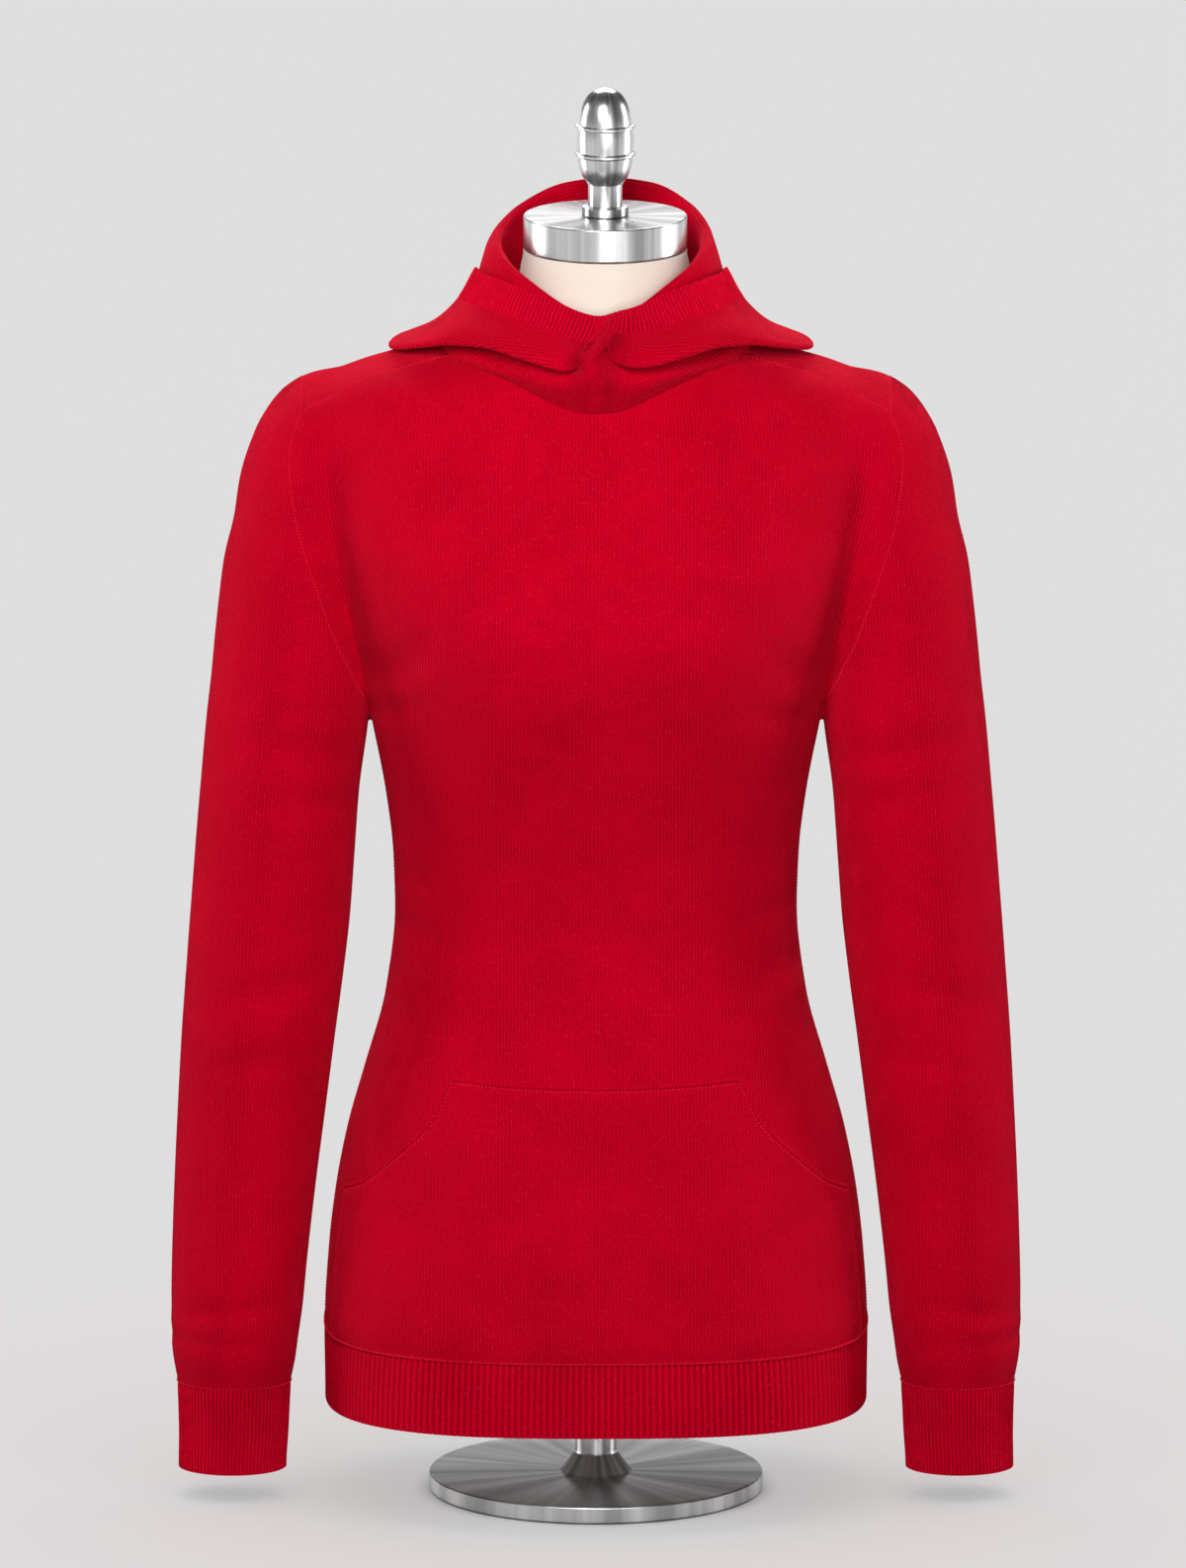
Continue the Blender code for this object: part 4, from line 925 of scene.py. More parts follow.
def new_group(name, takes, gives):
    """A node group with named inputs and one geometry output, and its inputs' sockets."""
    tree = bpy.data.node_groups.new(name, "GeometryNodeTree")
    for label, kind in takes.items():
        tree.interface.new_socket(label, in_out="INPUT", socket_type=f"NodeSocket{kind}")
    tree.interface.new_socket(gives, in_out="OUTPUT", socket_type="NodeSocketGeometry")
    return tree, tree.nodes.new("NodeGroupInput").outputs


def rib_nodes():
    """Raises 1x1 rib on a sheet.  Its points carry their place across the ribs, their distance
    from the join, and the way out of the cloth."""
    sizes = {name: "Float" for name in ("Pitch", "Depth", "Join Draw", "Join Reach")}
    takes = {"Sheet": "Geometry", **sizes, "Knit": "Material"}
    tree, given = new_group("ribs", takes, "Ribs")
    kind = "GeometryNodeInputNamedAttribute"
    height = add_node(tree, kind, {"Name": "across"}, "Attribute", data_type="FLOAT")
    draw = add_node(tree, kind, {"Name": "from_join"}, "Attribute", data_type="FLOAT")
    out = add_node(tree, kind, {"Name": "outward"}, "Attribute", data_type="FLOAT_VECTOR")

    # Round wales: a wave of |cosine| across the ribs, its furrows rounded, sunk by its share.
    for operation, other in (
        ("DIVIDE", given["Pitch"]),
        ("MULTIPLY", math.pi),
        ("COSINE", 0.0),
        ("ABSOLUTE", 0.0),
        ("POWER", RIB_POWER),
        ("SUBTRACT", RIB_SINKS),
        ("MULTIPLY", given["Depth"]),
    ):
        height = add_node(tree, "ShaderNodeMath", {0: height, 1: other}, 0, operation=operation)

    # At the join the rib is drawn in, and this dies out away from it.
    for operation, other in (
        ("DIVIDE", given["Join Reach"]),
        ("POWER", 2.0),
        ("MULTIPLY", -1.0),
        ("EXPONENT", 0.0),
        ("MULTIPLY", given["Join Draw"]),
    ):
        draw = add_node(tree, "ShaderNodeMath", {0: draw, 1: other}, 0, operation=operation)
    both = {0: height, 1: draw}
    height = add_node(tree, "ShaderNodeMath", both, 0, operation="SUBTRACT")

    way = {0: out, "Scale": height}
    offset = add_node(tree, "ShaderNodeVectorMath", way, "Vector", operation="SCALE")
    moved = {"Geometry": given["Sheet"], "Offset": offset}
    raised = add_node(tree, "GeometryNodeSetPosition", moved, "Geometry")
    solid = add_node(tree, "GeometryNodeRealizeInstances", {"Geometry": raised}, "Geometry")
    finish = {"Geometry": solid, "Material": given["Knit"]}
    finish = add_node(tree, "GeometryNodeSetMaterial", finish, "Geometry")
    add_node(tree, "NodeGroupOutput", {"Ribs": finish})
    return tree


def made_by(tree, obj, values):
    """Turns a piece into the plain mesh that a node group makes of it."""
    nodes = obj.modifiers.new(tree.name, "NODES")
    nodes.node_group = tree
    for item in tree.interface.items_tree:
        if item.in_out == "INPUT" and item.name in values:
            nodes[item.identifier] = values[item.name]
    graph = bpy.context.evaluated_depsgraph_get()
    done = bpy.data.meshes.new_from_object(obj.evaluated_get(graph), depsgraph=graph)
    obj.modifiers.clear()
    obj.data = done


def rib_piece(name, flat, outward, across, from_join, up, flip, sizes):
    """A piece of rib on a flat form, its map `across` the ribs and `up` along them."""
    across = np.broadcast_to(across, flat.shape[:2])
    carried = {"across": across, "from_join": from_join, "outward": outward}
    piece = grid_piece(name, flat, np.stack([across, up], axis=-1), flip, carried)
    made_by(ribs, piece, sizes)
    return piece


ribs = rib_nodes()
rib_mm = HEM_RIB_PITCH * 1000, COURSE_MM, RIB_KNIT_DEPTH_MM
# 0.45 is how strong the painted shade in the rib's low stitches is.
rib = cashmere("red cashmere rib, light nap", *rib_mm, RIB_SHADE, 0.45, 0.1)
hem_sizes = {
    "Pitch": HEM_RIB_PITCH,
    "Depth": HEM_RIB_DEPTH,
    "Join Draw": JOIN_DRAW,
    "Join Reach": JOIN_REACH,
    "Knit": rib,
}
hem_arc = lengths(level_line(HEM_TOP, -1, HEM_SAMPLES)[None], 1)[0, -1]
hem_ribs = round(hem_arc / HEM_RIB_PITCH)
heights = np.linspace(HEM_BOTTOM, HEM_TOP, round((HEM_TOP - HEM_BOTTOM) / RIB_ROW_STEP))
for name, side in (("hem_rib_front", -1), ("hem_rib_back", 1)):
    flat = np.array([level_line(height, side, hem_ribs * RIB_SAMPLES + 1) for height in heights])
    outward, up = normals(flat) * -side, flat[..., 2]
    across = np.linspace(0, hem_ribs * HEM_RIB_PITCH, flat.shape[1])
    knitted = f"{name}_knit"
    piece = rib_piece(knitted, flat, outward, across, HEM_TOP - up, up, side > 0, hem_sizes)
    dress(walled(piece), rib, "cashmere_rib", name)

# ---------------------------------------------------------------- pocket
# A pouch pocket cut from the same jersey and linked on flat.  Its top and its slanted openings
# are rolled to a narrow firm edge, with a line of stitches just inside.
PocketTop = namedtuple("PocketTop", "across height")
POCKET_TOP = [
    PocketTop(0.0000, 0.2683),
    PocketTop(0.0450, 0.2688),
    PocketTop(0.0835, 0.2701),
    PocketTop(0.0857, 0.2684),
    PocketTop(0.0902, 0.2564),
    PocketTop(0.0953, 0.2471),
    PocketTop(0.1030, 0.2370),
    PocketTop(0.1119, 0.2279),
    PocketTop(0.1210, 0.2188),
    PocketTop(0.1286, 0.2110),
    PocketTop(0.1375, 0.2025),
    PocketTop(0.1505, 0.1935),
]
POCKET_SIDE = 0.8  # share of the way round from the middle to the side seam
POCKET_GAP = 0.0004
POCKET_TAPER = 0.010  # the pocket thins into the hem's join over this height
EDGE_THINS = 0.0018  # the pocket thins to its edge over this width
POCKET_EDGE_ROWS = (0.0, 0.0005, 0.0011, 0.0017, 0.0023, 0.0029, 0.0036, 0.0046, 0.0064)
POCKET_ROWS = 44
POCKET_SIDE_STEPS = 30  # columns over each slanted opening
POCKET_TOP_STEPS = 60  # columns along the top
POCKET_HIGHEST = 0.28  # a level above the whole pocket
POCKET_LEVELS = 14
OUTLINE_ROUNDS = 60
SEWN_SHARE = 0.35  # of the wall's thickness is left where an edge is linked flat
EDGE_ROLL = 0.0009
EDGE_ROLL_AT = 0.0013
EDGE_ROLL_WIDTH = 0.0011
EDGE_GROOVE = 0.0006
EDGE_GROOVE_AT = 0.0031
EDGE_GROOVE_WIDTH = 0.0007
POCKET_CREASES = [
    Crease(-0.080, 0.252, -0.052, 0.214, 0.0080, 0.0007),
    Crease(0.082, 0.250, 0.058, 0.206, 0.0090, 0.0008),
    Crease(-0.128, 0.190, -0.092, 0.168, 0.0100, 0.0008),
    Crease(0.130, 0.188, 0.090, 0.160, 0.0090, 0.0007),
    Crease(-0.030, 0.262, 0.000, 0.236, 0.0110, 0.0004),
]


def pocket_grid():
    """The pocket's outer face from the hem up, each point's distance from the edge, and the map.

    Its wales run straight up, like those of the front under it.
    """
    widest = POCKET_SIDE * math.pi / 2
    corner_z = POCKET_TOP[2].height
    section = read(TORSO, "half_width", corner_z), 2 / read(TORSO, "square", corner_z)
    corner = math.asin((POCKET_TOP[2].across / section[0]) ** (1 / section[1]))
    slanted = np.linspace(-widest, -corner, POCKET_SIDE_STEPS + 1)
    level = np.linspace(-corner, corner, POCKET_TOP_STEPS + 1)
    turn = np.concatenate([slanted, level[1:], -slanted[-2::-1]])
    top = np.full_like(turn, (HEM_TOP + corner_z) / 2)
    for _ in range(OUTLINE_ROUNDS):
        outline = np.interp(np.abs(on_body(turn, top, -1)[:, 0]), *np.array(POCKET_TOP).T)
        top = mix(top, outline, 0.5)
    edge = on_body(turn, top, -1)
    slope = np.gradient(edge[:, 2]) / np.linalg.norm(np.gradient(edge, axis=0), axis=1)
    steep = 1 / np.sqrt(np.maximum(1 - slope**2, 0.08))
    near = np.array(POCKET_EDGE_ROWS)[:, None] * steep
    share = np.linspace(0, 1, POCKET_ROWS + 1)[1:, None]
    below = mix(near[-1], top - HEM_TOP, share)
    down = np.concatenate([near, below])[::-1]
    flat = on_body(turn, top - down, -1)
    levels = np.linspace(HEM_TOP, POCKET_HIGHEST, POCKET_LEVELS)
    arcs = lengths(on_body(turn[None, :], levels[:, None], -1), 1)
    arcs = arcs - arcs[:, len(turn) // 2, None]
    across = [np.interp(z, levels, arc) for z, arc in zip(flat[..., 2].T, arcs.T)]
    return flat, down / steep, np.stack([np.array(across).T, flat[..., 2]], axis=-1)


flat, from_edge, uv = pocket_grid()
pocket_outward = normals(flat)
rolled = EDGE_ROLL * np.exp(-(((from_edge - EDGE_ROLL_AT) / EDGE_ROLL_WIDTH) ** 2))
rolled -= EDGE_GROOVE * np.exp(-(((from_edge - EDGE_GROOVE_AT) / EDGE_GROOVE_WIDTH) ** 2))
sewn = mix(SEWN_SHARE, 1.0, ramp(flat[..., 2], HEM_TOP, POCKET_TAPER))
sewn = sewn * mix(SEWN_SHARE, 1.0, ramp(from_edge, 0.0, EDGE_THINS))
points = flat + pocket_outward * (POCKET_GAP + WALL * sewn + rolled)[..., None]
points = creased(points, pocket_outward, POCKET_CREASES, flat[..., 0], flat[..., 2])
pocket_shape = dipped(points, pocket_outward, ("bottom",))
pocket = grid_piece("pocket_knit", pocket_shape, uv)
dress(walled(pocket), knit, "cashmere_knit", "pocket")

# ---------------------------------------------------------------- sleeves
# Each sleeve is one shaped piece of jersey, closed under the arm and set into the armhole.
# It hangs straight and still round, and blouses slightly over its cuff.
CUFF_TOP = 0.0690
SLEEVE_COLUMNS = 46  # on each half of a sleeve
SLEEVE_SPREAD = 1.35  # above 1, the columns are closer at the seams
SLEEVE_CAP_ROWS = 22
SLEEVE_REACH = 0.12
ARM_STEPS = 150
ARM_START = 5  # the first of these steps that is tried
ARM_ROUNDS = 12
SLEEVE_EASING = 2
EASED_ABOVE = 40  # rows of the open part that are eased too
RING_SAMPLES = 721
SLEEVE_CREASES = [
    Crease(-0.120, 0.452, -0.030, 0.470, 0.0100, 0.0016),
    Crease(0.118, 0.446, 0.036, 0.462, 0.0110, 0.0016),
    Crease(-0.126, 0.424, -0.058, 0.430, 0.0085, 0.0011),
    Crease(0.112, 0.398, 0.050, 0.392, 0.0095, 0.0010),
    Crease(-0.104, 0.318, -0.022, 0.300, 0.0110, 0.0014),
    Crease(0.108, 0.300, 0.040, 0.284, 0.0100, 0.0012),
    Crease(-0.092, 0.272, -0.034, 0.264, 0.0090, 0.0009),
    Crease(-0.088, 0.120, 0.004, 0.112, 0.0065, 0.0011),
    Crease(0.084, 0.128, 0.010, 0.117, 0.0070, 0.0010),
    Crease(-0.060, 0.096, 0.036, 0.099, 0.0050, 0.0009),
    Crease(0.090, 0.094, 0.030, 0.090, 0.0045, 0.0007),
    Crease(-0.020, 0.600, 0.060, 0.566, 0.0160, 0.0008),
]


def round_turns():
    """Angles round a sleeve, from the underarm by the front and the outside to the underarm."""
    half = math.pi * (np.arange(SLEEVE_COLUMNS + 1) / SLEEVE_COLUMNS) ** SLEEVE_SPREAD
    return np.concatenate([half, 2 * math.pi - half[-2::-1]])


def arm_middle(height):
    """The middle of the arm at each height."""
    places = read(SLEEVE, "middle", height), read(SLEEVE, "centre_y", height), height
    return np.stack(places, axis=-1)


def level_rings(heights, turn):
    """Level sections of a sleeve, at directions turned from the underarm towards the front."""
    level = heights[:, None]
    wide, deep = read(SLEEVE, "half_width", level), read(SLEEVE, "half_depth", level)
    radius = 1 / np.hypot(np.cos(turn) / wide, np.sin(turn) / deep)
    x = read(SLEEVE, "middle", level) - radius * np.cos(turn)
    y = read(SLEEVE, "centre_y", level) - radius * np.sin(turn)
    return np.stack([x, y, np.broadcast_to(level, x.shape)], axis=-1)


def turned_towards(a, b, share):
    """Directions a share of the way round from one unit direction to another."""
    angle = np.arccos(np.clip((a * b).sum(-1, keepdims=True), -1.0, 1.0))
    sine = np.maximum(np.sin(angle), 1e-9)
    return (np.sin((1 - share) * angle) * a + np.sin(share * angle) * b) / sine


def unit(v):
    """Vectors at a length of one."""
    return v / np.maximum(np.linalg.norm(v, axis=-1, keepdims=True), 1e-12)


def leaves_arm(centre, way):
    """The first place where rays from a sleeve's middle leave the cloth.

    Near the armhole a ray can leave the arm and enter the chest again, so it goes step by step.
    """
    step = SLEEVE_REACH / ARM_STEPS
    near = np.full(way.shape[:-1], (ARM_START - 1) * step)
    held = np.ones(way.shape[:-1], bool)
    for k in range(ARM_START, ARM_STEPS):
        held &= is_inside(*np.moveaxis(centre + k * step * way, -1, 0))
        near = np.where(held, k * step, near)
    far = near + step
    for _ in range(ARM_ROUNDS):
        middle = (near + far) / 2
        inside = is_inside(*np.moveaxis(centre + middle[..., None] * way, -1, 0))
        near = np.where(inside, middle, near)
        far = np.where(inside, far, middle)
    return centre + near[..., None] * way


def round_arm(seam, centre, side, spread):
    """Level directions from the armhole seam round an arm to its outside."""
    away = seam - centre
    start = np.arctan2(side * away[:, 1], -away[:, 0])[:, None]
    angle = mix(start, math.pi, spread)
    return np.stack([-np.cos(angle), side * np.sin(angle), np.zeros_like(angle)], axis=-1)


def sleeve_grid():
    """A right sleeve from its cuff up; above the armpit its rows end at the armhole seam."""
    closed = np.linspace(CUFF_TOP, ARMPIT, round((ARMPIT - CUFF_TOP) / ROW_STEP))
    rings = level_rings(closed, round_turns())
    chest = chest_heights()
    shares = np.linspace(0.0, 1.0, SLEEVE_CAP_ROWS + 1)[1:]
    front, back = (armhole_edge(side, chest, shares) for side in (-1, 1))
    top = (front[-1] + back[-1]) / 2
    level = np.minimum(front[:, 2], YOKE)
    centre = arm_middle(level)
    rise = np.concatenate([np.zeros(len(chest)), shares])[:, None]
    outside = turned_towards(np.array([1.0, 0.0, 0.0]), unit(top - centre), rise)
    spread = ((np.arange(SLEEVE_COLUMNS + 1) / SLEEVE_COLUMNS) ** SLEEVE_SPREAD)[None, 1:, None]
    halves = []
    for side, seam in ((-1, front), (1, back)):
        way = turned_towards(unit(seam - centre)[:, None], outside[:, None], spread)
        n = len(chest)
        way[:n] = round_arm(seam[:n], centre[:n], side, spread[..., 0])
        half = leaves_arm(centre[:, None], way)
        halves.append(np.concatenate([seam[:, None], half], axis=1))
    cap_rows = np.concatenate([halves[0], halves[1][:, -2::-1]], axis=1)
    cap_rows[-1] = top
    return np.concatenate([rings, cap_rows]), len(rings)


def cap_around(points):
    """Distance round the arm over its cap, so that the wales run on up from the arm's own."""
    ring = level_rings(np.array([YOKE]), np.linspace(0.0, 2 * math.pi, RING_SAMPLES))[0]
    along = lengths(ring[None], 1)[0]
    middle = arm_middle(YOKE)
    away, ring_away = points - middle, ring[1:-1] - middle
    place = np.arctan2(away[..., 1], away[..., 0])
    ring_place = np.arctan2(ring_away[:, 1], ring_away[:, 0])
    return np.interp(place, ring_place, along[1:-1] - along[RING_SAMPLES // 2])


sleeve_points, open_row = sleeve_grid()
eased_rows = slice(0, open_row + EASED_ABOVE)
sleeve_points[eased_rows] = eased(sleeve_points[eased_rows], SLEEVE_EASING)
sleeve_normals = normals(sleeve_points)
sleeve_normals[-1] = (0.0, 0.0, 1.0)
around = lengths(sleeve_points, 1)
around = around - around[:, SLEEVE_COLUMNS, None]
around[-SLEEVE_CAP_ROWS:] = cap_around(sleeve_points[-SLEEVE_CAP_ROWS:])
height = sleeve_points[..., 2]
sleeve_shape = creased(sleeve_points, sleeve_normals, SLEEVE_CREASES, around, height)
closing = (sleeve_shape[:open_row, 0] + sleeve_shape[:open_row, -1]) / 2
sleeve_shape[:open_row, 0] = sleeve_shape[:open_row, -1] = closing
dip = np.zeros(sleeve_shape.shape[:2])
dip[0] = 1.0
dip[open_row:, 0] = dip[open_row:, -1] = 1.0
sleeve_shape = sleeve_shape - sleeve_normals * (SEAM_DIP * dip)[..., None]
sleeve_shape[-1] = sleeve_shape[-1].mean(axis=0)
up = lengths(sleeve_points, 0)[:, SLEEVE_COLUMNS, None]
uv = np.stack(np.broadcast_arrays(around, up), axis=-1)
for name, x_sign in (("left", -1), ("right", 1)):
    points = sleeve_shape * (x_sign, 1, 1)
    piece = grid_piece(f"sleeve_{name}_knit", points, uv, flip=x_sign < 0)
    dress(walled(piece, even=False), knit, "cashmere_knit", f"sleeve_{name}")

# ---------------------------------------------------------------- cuffs
# Each cuff is a tube of finer 1x1 rib, about 2.5 mm from wale to wale, linked on round the end
# of the sleeve, which blouses over it.
CUFF_BOTTOM = 0.0170
CUFF_RIB_PITCH = 0.0025
CUFF_RIB_DEPTH = 0.00065
CUFF_RIB_SAMPLES = 7
CUFF_SAMPLES = 1201
FINE_COURSE_MM = 1.6
FINE_KNIT_DEPTH_MM = 0.12
# the fine rib's deep red, also its painted shade in low places
FINE_RIB_SHADE = "#900012"
fine_mm = CUFF_RIB_PITCH * 1000, FINE_COURSE_MM, FINE_KNIT_DEPTH_MM
# 0.55 is how strong the painted shade in the fine rib's low stitches is.
fine_rib = cashmere("red cashmere rib, fine", *fine_mm, FINE_RIB_SHADE, 0.55, 0.1)
heights = np.linspace(CUFF_BOTTOM, CUFF_TOP, round((CUFF_TOP - CUFF_BOTTOM) / RIB_ROW_STEP))
rings = level_rings(heights, np.linspace(0, 2 * math.pi, CUFF_SAMPLES))
cuff_ribs = round(lengths(rings[-1:], 1)[0, -1] / CUFF_RIB_PITCH)
flat = np.array([evenly(ring, cuff_ribs * CUFF_RIB_SAMPLES + 1) for ring in rings])
flat[:, -1] = flat[:, 0]
outward, up = normals(flat), flat[..., 2]
outward[:, 0] = outward[:, -1] = unit(outward[:, 0] + outward[:, -1])
across = np.linspace(0, cuff_ribs * CUFF_RIB_PITCH, flat.shape[1])
cuff_sizes = {**hem_sizes, "Pitch": CUFF_RIB_PITCH, "Depth": CUFF_RIB_DEPTH, "Knit": fine_rib}
for name, x_sign in (("left", -1), ("right", 1)):
    knitted, sign = f"cuff_{name}_knit", (x_sign, 1, 1)
    shape = flat * sign, outward * sign
    piece = rib_piece(knitted, *shape, across, CUFF_TOP - up, up, x_sign < 0, cuff_sizes)
    dress(walled(piece), fine_rib, "cashmere_rib", f"cuff_{name}")

# ---------------------------------------------------------------- hood
# The hood is two halves joined by a seam over the head, and it lies down.  From the neck seam
# the cloth rolls out, stands up round the neck as one fold, falls outside it to a second fold
# that rests on the shoulders, and comes back up to a ribbed band along its edge.
Standing = namedtuple("Standing", "azimuth roll_r roll_z tuck_r tuck_z fold_r fold_z drop_r drop_z")
HOOD_STANDING = [
    Standing(0, 0.0915, 0.6900, 0.0950, 0.6985, 0.0935, 0.7065, 0.0895, 0.7125),
    Standing(6, 0.0910, 0.6895, 0.0905, 0.6975, 0.0700, 0.7190, 0.0810, 0.7110),
    Standing(12, 0.0905, 0.6895, 0.0860, 0.6985, 0.0615, 0.7262, 0.0785, 0.7125),
    Standing(30, 0.0880, 0.6935, 0.0815, 0.7020, 0.0610, 0.7370, 0.0755, 0.7145),
    Standing(45, 0.0865, 0.6960, 0.0795, 0.7045, 0.0615, 0.7450, 0.0750, 0.7160),
    Standing(60, 0.0895, 0.7015, 0.0800, 0.7085, 0.0620, 0.7510, 0.0780, 0.7175),
    Standing(75, 0.0890, 0.7045, 0.0790, 0.7120, 0.0625, 0.7565, 0.0805, 0.7180),
    Standing(90, 0.0870, 0.7065, 0.0760, 0.7160, 0.0630, 0.7600, 0.0825, 0.7175),
    Standing(110, 0.0820, 0.7090, 0.0730, 0.7200, 0.0660, 0.7635, 0.0850, 0.7145),
    Standing(122, 0.0775, 0.7105, 0.0710, 0.7220, 0.0685, 0.7670, 0.0925, 0.7130),
    Standing(135, 0.0730, 0.7120, 0.0690, 0.7240, 0.0715, 0.7715, 0.0990, 0.7090),
    Standing(160, 0.0665, 0.7160, 0.0670, 0.7290, 0.0740, 0.7800, 0.0910, 0.7040),
    Standing(180, 0.0645, 0.7180, 0.0665, 0.7310, 0.0750, 0.7815, 0.0905, 0.7000),
]
Lying = namedtuple("Lying", "azimuth tip_r tip_z slope_r slope_z rise_r rise_z edge_r edge_z")
HOOD_LYING = [
    Lying(0, 0.0840, 0.7170, 0.0775, 0.7205, 0.0705, 0.7240, 0.0620, 0.7270),
    Lying(6, 0.0915, 0.7030, 0.0880, 0.7095, 0.0780, 0.7180, 0.0640, 0.7285),
    Lying(12, 0.0950, 0.7015, 0.0920, 0.7090, 0.0815, 0.7180, 0.0648, 0.7303),
    Lying(30, 0.0945, 0.7060, 0.0915, 0.7135, 0.0815, 0.7210, 0.0670, 0.7380),
    Lying(45, 0.0955, 0.7095, 0.0920, 0.7170, 0.0825, 0.7250, 0.0705, 0.7430),
    Lying(60, 0.1030, 0.7085, 0.0975, 0.7160, 0.0855, 0.7255, 0.0725, 0.7450),
    Lying(75, 0.1150, 0.7030, 0.1030, 0.7105, 0.0865, 0.7245, 0.0735, 0.7450),
    Lying(90, 0.1255, 0.6970, 0.1060, 0.7055, 0.0865, 0.7230, 0.0740, 0.7440),
    Lying(110, 0.1280, 0.6945, 0.1190, 0.6985, 0.0960, 0.7095, 0.0825, 0.7315),
    Lying(122, 0.1310, 0.6775, 0.1300, 0.6880, 0.1060, 0.7055, 0.0870, 0.7290),
    Lying(135, 0.1300, 0.6490, 0.1350, 0.6680, 0.1180, 0.7010, 0.0965, 0.7270),
    Lying(160, 0.1150, 0.6120, 0.1265, 0.6440, 0.1250, 0.6910, 0.1080, 0.7260),
    Lying(180, 0.1120, 0.6020, 0.1240, 0.6340, 0.1265, 0.6870, 0.1110, 0.7260),
]
HOOD_AXIS_X = 0.003
HOOD_TOP = 0.758
HOOD_TOP_LEAN = 0.20
SEAM_LAP = 0.0012  # the hood is linked over the panels' edge
SEAM_LIFT = 0.0004
MIDDLE_STRIP = 1.0  # degrees either side of the middle that keep its section
PINCH_Z = 0.714
PINCH_REACH = 0.021
PINCH_SLANT = 0.7
PINCH_DROP = 0.005
PINCH_HALF = 0.009
PINCH_FRONT = 0.02  # it starts this far in front of the middle, and is full as far again
PINCH_FOOT = 0.692
PINCH_FOOT_FADE = 0.012
PINCH_END = 30  # degrees round, where the folds stand wide open
FOLD_INSIDE = np.array([-0.0030, -0.0080])
FOLD_OUTSIDE = np.array([0.0045, -0.0060])
TIP_UNDER = np.array([-0.0090, -0.0005])
SHIFT_FROM = 0.3  # spans above the seam where the hood's own axis takes over
SHIFT_OVER = 3
BAND_WIDTH = 0.020
HOOD_EASING = 3
HOOD_SPANS = (8, 6, 14, 6, 6, 12, 16, 8)  # rows in each span from the seam to the outer fold
OUTER_SPAN = 24
HOOD_OUTER_ROWS = 22
HOOD_STEP_DEG = 1.6


def pinched(points):
    """Pulls the gather under the chin aslant, one side lower than the other."""
    x, y, z = np.moveaxis(points, -1, 0)
    near = np.exp(-(x**2 + (z - PINCH_Z) ** 2) / PINCH_REACH**2)
    near = near * ramp(-y, PINCH_FRONT, PINCH_FRONT) * ramp(z, PINCH_FOOT, PINCH_FOOT_FADE)
    slant = PINCH_SLANT * (z - PINCH_Z) * near
    drop = PINCH_DROP * np.tanh(x / PINCH_HALF) * near
    return points + np.stack([slant, np.zeros_like(slant), drop], axis=-1)


def bend(table, name, at):
    """One of the named bends at each azimuth, as radius and height."""
    return np.stack([read(table, f"{name}_r", at), read(table, f"{name}_z", at)], axis=-1)


def hood_bends(azimuth):
    """Control points of the hood's section at each azimuth, as radius and height."""
    at = np.maximum(0.0, np.abs(azimuth) - MIDDLE_STRIP)
    seam_z = neck_point(azimuth)[:, 2] + SEAM_LIFT
    seam = np.stack([read(NECKLINE, "radius", at) + SEAM_LAP, seam_z], axis=-1)
    roll, tuck, fold, drop = (
        bend(HOOD_STANDING, name, at) for name in ("roll", "tuck", "fold", "drop")
    )
    tip, slope, rise, edge = (bend(HOOD_LYING, n, at) for n in ("tip", "slope", "rise", "edge"))
    opened = np.minimum(1.0, at / PINCH_END)[:, None]
    before_fold = mix(mix(fold, tuck, 1 / 3), fold + FOLD_INSIDE, opened)
    after_fold = mix(mix(fold, drop, 1 / 3), fold + FOLD_OUTSIDE, opened)
    before_tip = mix(mix(tip, drop, 1 / 3), tip + TIP_UNDER, opened)
    standing = [seam, roll, tuck, before_fold, fold, after_fold, drop]
    return np.stack([*standing, before_tip, tip, slope, rise, edge], axis=1)


def through(points, steps):
    """Points on smooth curves through the control points, with so many steps in each span."""
    first, last = 2 * points[:, :1] - points[:, 1:2], 2 * points[:, -1:] - points[:, -2:-1]
    padded = np.concatenate([first, points, last], axis=1)
    spans = []
    for i, count in enumerate(steps):
        a, b, c, d = (padded[:, i + k, None] for k in range(4))
        t = (np.arange(count) / count)[None, :, None]
        turn = (2 * a - 5 * b + 4 * c - d) * t**2 + (3 * b - 3 * c + d - a) * t**3
        spans.append(0.5 * (2 * b + (c - a) * t + turn))
    return np.concatenate([*spans, points[:, len(steps) : len(steps) + 1]], axis=1)


